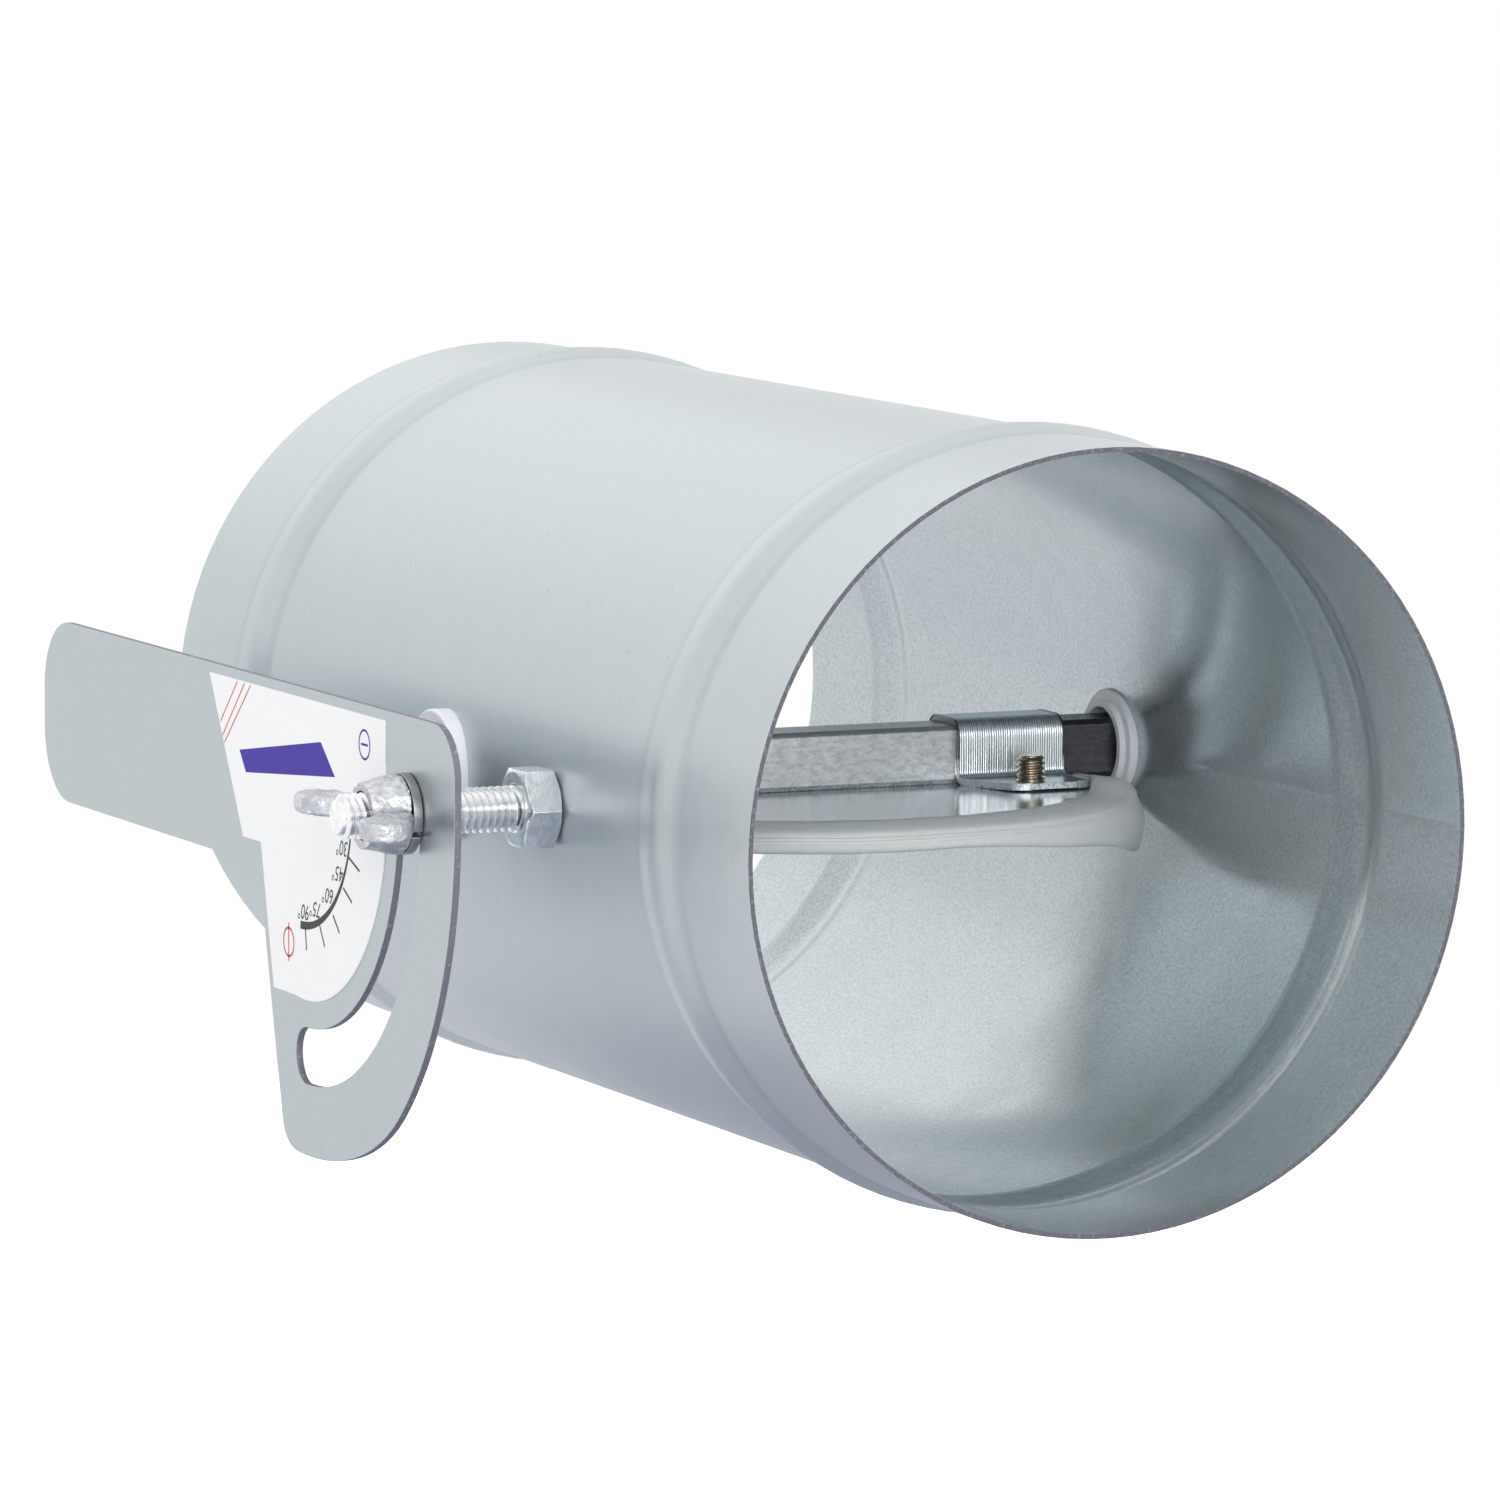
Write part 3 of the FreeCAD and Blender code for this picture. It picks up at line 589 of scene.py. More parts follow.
def hexagon_shape(height, across, face_radius, bore=0.0, bore_chamfer=0.0, low_chamfer=True,
                  samples=72):
    """Hexagon nut or head along local Z from 0 to its height, with turned-down corners."""
    chamfer_slope = 0.5
    chamfer_rows = 6
    corner = across / 2 / math.cos(30 * degree)
    drop = (corner - face_radius) * chamfer_slope
    levels = [row / chamfer_rows * drop for row in range(chamfer_rows + 1)]

    def ring(z, depth):
        """Points round the six flats at a height, wider with the depth below the turned face."""
        row = []
        for sample in range(samples):
            angle = 2 * math.pi * sample / samples
            from_flat = (angle + 30 * degree) % (60 * degree) - 30 * degree
            reach = across / 2 / math.cos(from_flat)
            held = min(reach, face_radius + depth / chamfer_slope)
            row.append((held * math.cos(angle), held * math.sin(angle), z))
        return row

    def circle(z, radius):
        """Points round a circle at a height."""
        turns = [2 * math.pi * sample / samples for sample in range(samples)]
        return [(radius * math.cos(turn), radius * math.sin(turn), z) for turn in turns]

    top = [ring(height - depth, depth) for depth in reversed(levels)]
    low = [ring(depth, depth) for depth in levels] if low_chamfer else [ring(0.0, drop)]
    shape = bmesh.new()
    if bore:
        inner = [circle(height, bore + bore_chamfer), circle(height - bore_chamfer, bore),
                 circle(bore_chamfer, bore), circle(0.0, bore + bore_chamfer)]
        lathe_rows(shape, low + top + inner, closed_rows=True)
    else:
        rings = lathe_rows(shape, low + top)
        shape.faces.new(rings[0])
        shape.faces.new(rings[-1])
    bmesh.ops.remove_doubles(shape, verts=shape.verts, dist=0.001 * mm)
    return shape


def aim(shape, origin, direction, up=z_axis, turn=0.0):
    """Lays a shape built along local Z on a place and direction."""
    forward = Vector(direction).normalized()
    side = Vector(up).cross(forward).normalized()
    top = forward.cross(side)
    frame_matrix = Matrix((side, top, forward)).transposed().to_4x4()
    frame_matrix.translation = origin
    bmesh.ops.transform(shape, matrix=frame_matrix @ Matrix.Rotation(turn, 4, "Z"), verts=shape.verts)
    return shape


def merge(shapes):
    """All the shapes in one."""
    whole = shapes[0]
    for shape in shapes[1:]:
        carrier = bpy.data.meshes.new("carrier")
        shape.to_mesh(carrier)
        shape.free()
        whole.from_mesh(carrier)
        bpy.data.meshes.remove(carrier)
    return whole


class DamperSizes(bpy.types.PropertyGroup):
    """Sizes of the dressed pieces."""

    sheet_ease: bpy.props.FloatProperty(
        name="Sheet edge ease", description="Round along the cut edges of the plate and straps",
        default=0.10 * mm, min=0.0, unit="LENGTH")
    shaft_ease: bpy.props.FloatProperty(
        name="Shaft edge ease", description="Round along the drawn corners of the square bar",
        default=0.22 * mm, min=0.0, unit="LENGTH")
    stud_pitch: bpy.props.FloatProperty(
        name="Stud pitch", description="Distance between the crests of the clamp bolt",
        default=1.0 * mm, min=0.2 * mm, unit="LENGTH")
    screw_pitch: bpy.props.FloatProperty(
        name="Screw pitch", description="Distance between the crests of the saddle screws",
        default=0.7 * mm, min=0.2 * mm, unit="LENGTH")
    cast_grain: bpy.props.FloatProperty(
        name="Cast relief", description="How far the wing nut's skin stands up and down",
        default=0.16 * mm, min=0.0, unit="LENGTH")
    lip_wave: bpy.props.FloatProperty(
        name="Seal wave", description="How far the soft lip rises and falls round the blade",
        default=0.22 * mm, min=0.0, unit="LENGTH")
    number_size: bpy.props.FloatProperty(
        name="Number height", description="Height of the dial numbers",
        default=2.9 * mm, min=0.5 * mm, unit="LENGTH")


class DamperColours(bpy.types.PropertyGroup):
    """Colours of the finishes."""

    tube: bpy.props.FloatVectorProperty(
        name="Tube outside", description="Galvanised sheet outside", subtype="COLOR", size=3, min=0, max=1,
        default=(0.57, 0.62, 0.64))
    tube_inside: bpy.props.FloatVectorProperty(
        name="Tube inside", description="Galvanised sheet inside", subtype="COLOR", size=3, min=0, max=1,
        default=(0.57, 0.64, 0.665))
    plate: bpy.props.FloatVectorProperty(
        name="Handle plate", description="Galvanised handle sheet", subtype="COLOR", size=3, min=0, max=1,
        default=(0.52, 0.57, 0.59))
    cut_edge: bpy.props.FloatVectorProperty(
        name="Cut edge", description="Bare edge of the sheets", subtype="COLOR", size=3, min=0, max=1,
        default=(0.165, 0.164, 0.19))
    bar: bpy.props.FloatVectorProperty(
        name="Square bar", description="Bare drawn steel", subtype="COLOR", size=3, min=0, max=1,
        default=(0.82, 0.815, 0.84))
    zinc: bpy.props.FloatVectorProperty(
        name="Zinc plate", description="Bright plated steel", subtype="COLOR", size=3, min=0, max=1,
        default=(0.82, 0.86, 0.88))
    cast_zinc: bpy.props.FloatVectorProperty(
        name="Cast zinc", description="Wing nut", subtype="COLOR", size=3, min=0, max=1,
        default=(0.69, 0.71, 0.745))
    brass_screw: bpy.props.FloatVectorProperty(
        name="Yellow zinc", description="Saddle screws", subtype="COLOR", size=3, min=0, max=1,
        default=(0.62, 0.55, 0.44))
    spring: bpy.props.FloatVectorProperty(
        name="Spring steel", description="Rings and lock washer", subtype="COLOR", size=3, min=0, max=1,
        default=(0.40, 0.40, 0.42))
    nylon: bpy.props.FloatVectorProperty(
        name="Nylon", description="Bushes", subtype="COLOR", size=3, min=0, max=1,
        default=(0.92, 0.93, 0.98))
    silicone: bpy.props.FloatVectorProperty(
        name="Silicone", description="Blade seal", subtype="COLOR", size=3, min=0, max=1,
        default=(0.97, 0.98, 0.97))
    paper: bpy.props.FloatVectorProperty(
        name="Label", description="Label film", subtype="COLOR", size=3, min=0, max=1,
        default=(0.98, 0.98, 0.985))
    ink_dark: bpy.props.FloatVectorProperty(
        name="Dark ink", description="Scale and numbers", subtype="COLOR", size=3, min=0, max=1,
        default=(0.06, 0.06, 0.062))
    ink_red: bpy.props.FloatVectorProperty(
        name="Red ink", description="Lines and signs", subtype="COLOR", size=3, min=0, max=1,
        default=(0.70, 0.08, 0.065))
    ink_violet: bpy.props.FloatVectorProperty(
        name="Violet ink", description="Banner and signs", subtype="COLOR", size=3, min=0, max=1,
        default=(0.065, 0.04, 0.38))


def finish_of(name):
    """A finish by its name, which the first operator made."""
    if name not in bpy.data.materials:
        raise RuntimeError("Make the finishes first")
    return bpy.data.materials[name]


class DAMPER_OT_finishes(bpy.types.Operator):
    """Make every finish of the damper"""

    bl_idname = "damper.finishes"
    bl_label = "Finishes"

    def execute(self, context):
        look = context.scene.damper_colours
        build_facing_group()
        build_grain_group()
        build_speck_group()
        build_wear_group()
        cut = tuple(look.cut_edge)
        galvanised("Galvanised tube", tuple(look.tube), edge_colour=cut, cut_axis=y_axis,
                   cut_range=(0.75, 0.9), streak=(260, 2600, 260), roughness=0.36,
                   inside_colour=tuple(look.tube_inside))
        # The plate's back gets a lighter copy of the plate colour, as painted light.
        galvanised("Galvanised plate", tuple(look.plate), edge_colour=toned(cut, 1.55), cut_axis=x_axis,
                   cut_range=(0.55, 0.35), streak=(300, 500, 2200), roughness=0.34,
                   lit_back_colour=toned(look.plate, 1.6), nicks=(0.58, 0.70, 1.9))
        galvanised("Galvanised disc", toned(look.plate, 1.72), edge_colour=cut, cut_axis=z_axis,
                   cut_range=(0.55, 0.35), streak=(300, 2200, 300), roughness=0.14)
        bar_steel("Drawn steel", tuple(look.bar))
        plated("Zinc plate", tuple(look.zinc), roughness=0.24, streak=(300, 900, 900), worn=0.25)
        plated("Bright thread", (0.97, 0.975, 0.98), roughness=0.16, streak=(300, 900, 900), worn=0.15,
               root_shade=0.5)
        plated("Zinc nut", toned(look.zinc, 1.08), roughness=0.18, streak=(500, 300, 300), worn=0.45,
               bump=0.05, dark=0.5)
        strap_steel("Bent zinc strap", toned(look.zinc, 1.09))
        plated("Yellow zinc", tuple(look.brass_screw), roughness=0.24, streak=(600, 600, 600), worn=0.4)
        plated("Spring steel", tuple(look.spring), roughness=0.30, streak=(700, 700, 700), worn=0.4)
        cast("Cast zinc", tuple(look.cast_zinc))
        soft_plastic("Nylon", tuple(look.nylon), shade=0.94, roughness=0.42, glow=0.15,
                     glow_reach=1.0 * mm)
        soft_plastic("Silicone", tuple(look.silicone), shade=0.93, roughness=0.38, glow=0.75,
                     glow_reach=4.0 * mm, lip_streaks_and_side_shade=True)
        film("Label film", tuple(look.paper), roughness=0.3, shine=0.5)
        film("Dark ink", tuple(look.ink_dark), roughness=0.5, shine=0.15)
        film("Red ink", tuple(look.ink_red), roughness=0.5, shine=0.15)
        film("Violet ink", tuple(look.ink_violet), roughness=0.5, shine=0.12)
        return {"FINISHED"}


class DAMPER_OT_carried_solids(bpy.types.Operator):
    """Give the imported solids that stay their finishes"""

    bl_idname = "damper.carried_solids"
    bl_label = "Carried solids"

    finishes = {
        "duct_body": "Galvanised tube",
        "bush_outer_right": "Nylon",
        "bush_outer_left": "Nylon",
        "shaft_ring_right": "Spring steel",
        "shaft_ring_left": "Spring steel",
        "blade_disc": "Galvanised disc",
        "bolt_washer": "Zinc plate",
        "scale_label": "Label film",
    }

    def execute(self, context):
        for node, finish in self.finishes.items():
            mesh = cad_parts[node].data
            mesh.materials.clear()
            mesh.materials.append(finish_of(finish))
        return {"FINISHED"}


class DAMPER_OT_handle(bpy.types.Operator):
    """Build the handle plate with eased cut edges"""

    bl_idname = "damper.handle"
    bl_label = "Handle plate"

    # The quadrant's foot is drawn up below this height, more towards its end
    foot_start = -41.0 * mm
    foot_rise = 2.1 * mm
    foot_curve = 1.5

    def execute(self, context):
        sizes = context.scene.damper_sizes
        mesh = eased_copy("handle_plate", "handle_blank", sizes.sheet_ease)
        depth = self.foot_start - plate_bottom
        for vertex in mesh.vertices:
            share = min(1.0, max(0.0, (self.foot_start - vertex.co.z) / depth))
            vertex.co.z += self.foot_rise * share ** self.foot_curve
        weighted(new_piece("handle_blank", mesh, finish_of("Galvanised plate"), "blade",
                           ["handle_plate"]))
        return {"FINISHED"}


class DAMPER_OT_shaft(bpy.types.Operator):
    """Build the square bar with drawn corners"""

    bl_idname = "damper.shaft"
    bl_label = "Square bar"

    def execute(self, context):
        sizes = context.scene.damper_sizes
        mesh = eased_copy("square_shaft", "drawn_bar", sizes.shaft_ease)
        weighted(new_piece("drawn_bar", mesh, finish_of("Drawn steel"), "blade",
                           ["square_shaft"]))
        return {"FINISHED"}


def rounded_path(corners, steps=8):
    """Points of a flat line through the corners, each rounded by its own radius."""
    points = [Vector(corners[0][:2])]
    for before, corner, after in zip(corners, corners[1:], corners[2:]):
        middle = Vector(corner[:2])
        back = (Vector(before[:2]) - middle).normalized()
        ahead = (Vector(after[:2]) - middle).normalized()
        half = back.angle(ahead) / 2
        radius = corner[2]
        centre = middle + (back + ahead).normalized() * (radius / math.sin(half))
        first = middle + back * (radius / math.tan(half)) - centre
        last = middle + ahead * (radius / math.tan(half)) - centre
        for step in range(steps + 1):
            share = step / steps
            points.append(centre + first.slerp(last, share).normalized() * radius)
    points.append(Vector(corners[-1][:2]))
    return points


class DAMPER_OT_saddles(bpy.types.Operator):
    """Build the bent straps that hold the disc on the bar"""

    bl_idname = "damper.saddles"
    bl_label = "Saddles"

    sheet = 1.0 * mm
    bend = 1.35 * mm
    crown_bend = 2.1 * mm
    ear_reach = 11.0 * mm
    tip_inner = 4.5 * mm
    tip_round = 2.2 * mm
    tip_outer_round = 3.0 * mm
    tip_outer_taper = 0.4 * mm
    tip_lift = 0.22 * mm
    wobble_height = 0.05 * mm
    wobble_per_metre = 350
    # Share of the ease that each point of a rounded corner lies in from the side and from the face
    corner_points = ((1.0, 0.0), (0.3, 0.3), (0.0, 1.0))
    # Extra stations near each tip, as shares of the tip's round
    tip_shares = (0.02, 0.08, 0.2)
    station_gap = 0.5 * mm

    def execute(self, context):
        ease = context.scene.damper_sizes.sheet_ease
        for side, sign in (("right", 1), ("left", -1)):
            low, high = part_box("saddle_" + side)
            centre = (low.x + high.x) / 2
            half = (high.x - low.x) / 2
            shape = self.strip(centre, half, sign, low, high, ease)
            mesh = mesh_from(shape, "strap_" + side, 40)
            weighted(new_piece("strap_" + side, mesh, finish_of("Bent zinc strap"), "blade",
                               ["saddle_" + side]))
        return {"FINISHED"}

    def strip(self, centre, half, sign, low, high, ease):
        """One strap: a rounded section swept over the bar from ear tip to ear tip."""
        middle = self.sheet / 2
        reach = (high.y - low.y) / 2
        crown = high.z - middle
        ear = low.z + middle
        wall = reach - self.ear_reach - middle
        path = rounded_path([(-reach, ear), (-wall, ear, self.bend), (-wall, crown, self.crown_bend),
                             (wall, crown, self.crown_bend), (wall, ear, self.bend), (reach, ear)])
        stations = self.fine(path)
        length = stations[-1][0]
        rows = []
        for run, place, along in stations:
            from_tip = min(run, length - run)
            inner = self.width_at(from_tip, half, self.tip_inner, self.tip_round)
            outer = self.width_at(from_tip, half, half - self.tip_outer_taper, self.tip_outer_round)
            spans = (-inner * sign, outer * sign)
            lift = self.tip_lift * max(0.0, 1 - from_tip / self.ear_reach) ** 2
            normal = Vector((-along.y, along.x))
            row = []
            for across, deep in ((min(spans), -1), (max(spans), -1), (max(spans), 1), (min(spans), 1)):
                edge_in = ease if across < 0 else -ease
                corner = self.corner_points if deep * across > 0 else self.corner_points[::-1]
                for side_share, depth_share in corner:
                    spot = place + normal * deep * (middle - depth_share * ease)
                    uneven = noise.noise(Vector((across, spot.x, spot.y)) * self.wobble_per_metre)
                    wobble = self.wobble_height * uneven
                    row.append((centre + across + edge_in * side_share, shaft_y + spot.x,
                                spot.y + lift + wobble))
            rows.append(row)
        shape = bmesh.new()
        rings = lathe_rows(shape, rows)
        shape.faces.new(rings[0])
        shape.faces.new(rings[-1])
        return shape

    def fine(self, path):
        """Stations along a path no more than a short step apart, each with its run and direction."""
        stations = []
        run = 0.0
        for start, end in zip(path, path[1:]):
            span = (end - start).length
            if span < 0.0001 * mm:
                continue
            along = (end - start) / span
            count = max(1, int(span / self.station_gap))
            for step in range(count):
                stations.append((run + span * step / count, start.lerp(end, step / count), along))
            run += span
        stations.append((run, path[-1], along))
        extra = []
        first_span = (path[1] - path[0]).length
        last_span = (path[-1] - path[-2]).length
        for share in self.tip_shares:
            place = self.tip_round * share
            extra.append((place, path[0].lerp(path[1], place / first_span), stations[0][2]))
            extra.append((run - place, path[-1].lerp(path[-2], place / last_span), stations[-1][2]))
        return sorted(stations + extra, key=lambda station: station[0])

    def width_at(self, from_tip, half, tip, rounding):
        """Half width of the ear at a distance from its tip."""
        width = min(half, tip + (half - tip) * from_tip / self.ear_reach)
        if from_tip < rounding:
            width -= rounding - math.sqrt(rounding ** 2 - (rounding - from_tip) ** 2)
        return width


class DAMPER_OT_saddle_screws(bpy.types.Operator):
    """Build the four threaded screws under the blade"""

    bl_idname = "damper.saddle_screws"
    bl_label = "Saddle screws"

    head_height = 2.3 * mm
    thread_radius = 2.0 * mm
    thread_depth = 0.42 * mm
    tip_chamfer = 0.5 * mm
    turn_step = 70 * degree

    def execute(self, context):
        sizes = context.scene.damper_sizes
        for number in range(1, 5):
            node = "saddle_screw_" + str(number)
            name = "thread_screw_" + str(number)
            low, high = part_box(node)
            foot = Vector(((low.x + high.x) / 2, (low.y + high.y) / 2, low.z))
            bearing = foot + z_axis * self.head_height
            thread = thread_shape(high.z - bearing.z, self.thread_radius, self.thread_depth,
                                  sizes.screw_pitch, self.tip_chamfer, 36)
            aim(thread, bearing, z_axis, y_axis, number * self.turn_step)
            head = pan_head(foot, (high.x - low.x) / 2, self.head_height)
            mesh = mesh_from(merge([thread, head]), name, 30)
            new_piece(name, mesh, finish_of("Yellow zinc"), "blade", [node])
        return {"FINISHED"}


def pan_head(foot, radius, height):
    """Pan head with a crossed recess, its foot down and its bearing face up."""
    round_height = 1.1 * mm
    recess_reach = 2.1 * mm
    recess_depth = 1.3 * mm
    recess_half_width = 0.5 * mm
    recess_taper = 0.45
    samples = 64
    rings = 14
    shape = bmesh.new()
    rows = []
    for ring in range(1, rings + 1):
        share = ring / rings
        row = []
        for sample in range(samples):
            angle = 2 * math.pi * sample / samples
            reach = radius * math.sin(share * math.pi / 2)
            rise = round_height * (1 - math.cos(share * math.pi / 2))
            arm = min(abs(math.cos(angle)), abs(math.sin(angle))) * reach
            out = max(abs(math.cos(angle)), abs(math.sin(angle))) * reach
            inside = arm < recess_half_width and out < recess_reach
            sink = recess_depth * (1 - recess_taper * out / recess_reach) if inside else 0.0
            row.append((foot.x + reach * math.cos(angle), foot.y + reach * math.sin(angle),
                        foot.z + rise + sink))
        rows.append(row)
    rows.append([(x, y, foot.z + height) for x, y, z in rows[-1]])
    made = lathe_rows(shape, rows)
    bottom = shape.verts.new((foot.x, foot.y, foot.z + recess_depth))
    for index in range(samples):
        shape.faces.new((bottom, made[0][(index + 1) % samples], made[0][index]))
    shape.faces.new(made[-1])
    return shape


class DAMPER_OT_clamp_bolt(bpy.types.Operator):
    """Build the threaded bolt that stands out of the wall"""

    bl_idname = "damper.clamp_bolt"
    bl_label = "Clamp bolt"

    head_height = 4.0 * mm
    # Radius of the turned face, as a share of the width across the flats
    face_share = 0.475
    thread_radius = 3.0 * mm
    thread_depth = 0.60 * mm
    tip_chamfer = 0.8 * mm

    def execute(self, context):
        sizes = context.scene.damper_sizes
        seat = Vector((bolt_high.x - self.head_height, stud_y, 0))
        across = bolt_high.y - bolt_low.y
        thread = thread_shape(seat.x - bolt_low.x, self.thread_radius, self.thread_depth, sizes.stud_pitch,
                              self.tip_chamfer)
        aim(thread, seat, -x_axis)
        head = hexagon_shape(self.head_height, across, across * self.face_share, low_chamfer=False)
        aim(head, seat, x_axis, z_axis, 30 * degree)
        mesh = mesh_from(merge([thread, head]), "threaded_bolt", 30)
        new_piece("threaded_bolt", mesh, finish_of("Bright thread"), "housing",
                  ["clamp_bolt"])
        return {"FINISHED"}


class DAMPER_OT_wall_nut(bpy.types.Operator):
    """Build the hexagon nut on the wall"""

    bl_idname = "damper.wall_nut"
    bl_label = "Wall nut"

    face_share = 0.462
    bore = 2.7 * mm
    bore_chamfer = 0.55 * mm
    corner_ease = 0.24 * mm

    def execute(self, context):
        height = nut_high.x - nut_low.x
        across = nut_high.y - nut_low.y
        shape = hexagon_shape(height, across, across * self.face_share, self.bore, self.bore_chamfer)
        aim(shape, Vector((nut_high.x, stud_y, 0)), -x_axis, z_axis, 30 * degree)
        mesh = mesh_from(shape, "hexagon_nut", 30)
        piece = new_piece("hexagon_nut", mesh, finish_of("Zinc nut"), "housing", ["wall_nut"])
        ease = piece.modifiers.new("eased corners", "BEVEL")
        ease.width = self.corner_ease
        ease.segments = 3
        ease.limit_method = "ANGLE"
        ease.angle_limit = 40 * degree
        weighted(piece)
        return {"FINISHED"}


class DAMPER_OT_lock_washer(bpy.types.Operator):
    """Build the split washer behind the wing nut"""

    bl_idname = "damper.lock_washer"
    bl_label = "Lock washer"

    edge_ease = 0.15 * mm

    def execute(self, context):
        mesh = eased_copy("lock_washer", "split_washer", self.edge_ease)
        weighted(new_piece("split_washer", mesh, finish_of("Spring steel"), "washer",
                           ["lock_washer"]))
        return {"FINISHED"}


class DAMPER_OT_wing_nut(bpy.types.Operator):
    """Build the cast wing nut"""

    bl_idname = "damper.wing_nut"
    bl_label = "Wing nut"

    voxel = 0.20 * mm
    soften_rounds = 4
    relief_size = 2.2 * mm
    small_relief_size = 0.77 * mm
    small_share = 0.55
    # The whole skin is drawn in by this share of the relief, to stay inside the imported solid
    drawn_in = 0.9

    def execute(self, context):
        sizes = context.scene.damper_sizes
        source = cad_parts["wing_nut"].data.copy()
        piece = new_piece("cast_wing_nut", source, finish_of("Cast zinc"), "wing",
                          ["wing_nut"])
        weld = piece.modifiers.new("weld", "WELD")
        weld.merge_threshold = 0.002 * mm
        remesh = piece.modifiers.new("even mesh", "REMESH")
        remesh.mode = "VOXEL"
        remesh.voxel_size = self.voxel
        smooth = piece.modifiers.new("cast rounding", "SMOOTH")
        smooth.factor = 0.5
        smooth.iterations = self.soften_rounds
        graph = bpy.context.evaluated_depsgraph_get()
        mesh = bpy.data.meshes.new_from_object(piece.evaluated_get(graph))
        piece.modifiers.clear()
        outward = [vertex.normal.copy() for vertex in mesh.vertices]
        for vertex, normal in zip(mesh.vertices, outward):
            broad = noise.noise(vertex.co / self.relief_size)
            small = noise.noise(vertex.co / self.small_relief_size)
            relief = broad + self.small_share * small - self.drawn_in
            vertex.co += normal * sizes.cast_grain * relief
        for polygon in mesh.polygons:
            polygon.use_smooth = True
        mesh.materials.clear()
        mesh.materials.append(finish_of("Cast zinc"))
        piece.data = mesh
        return {"FINISHED"}


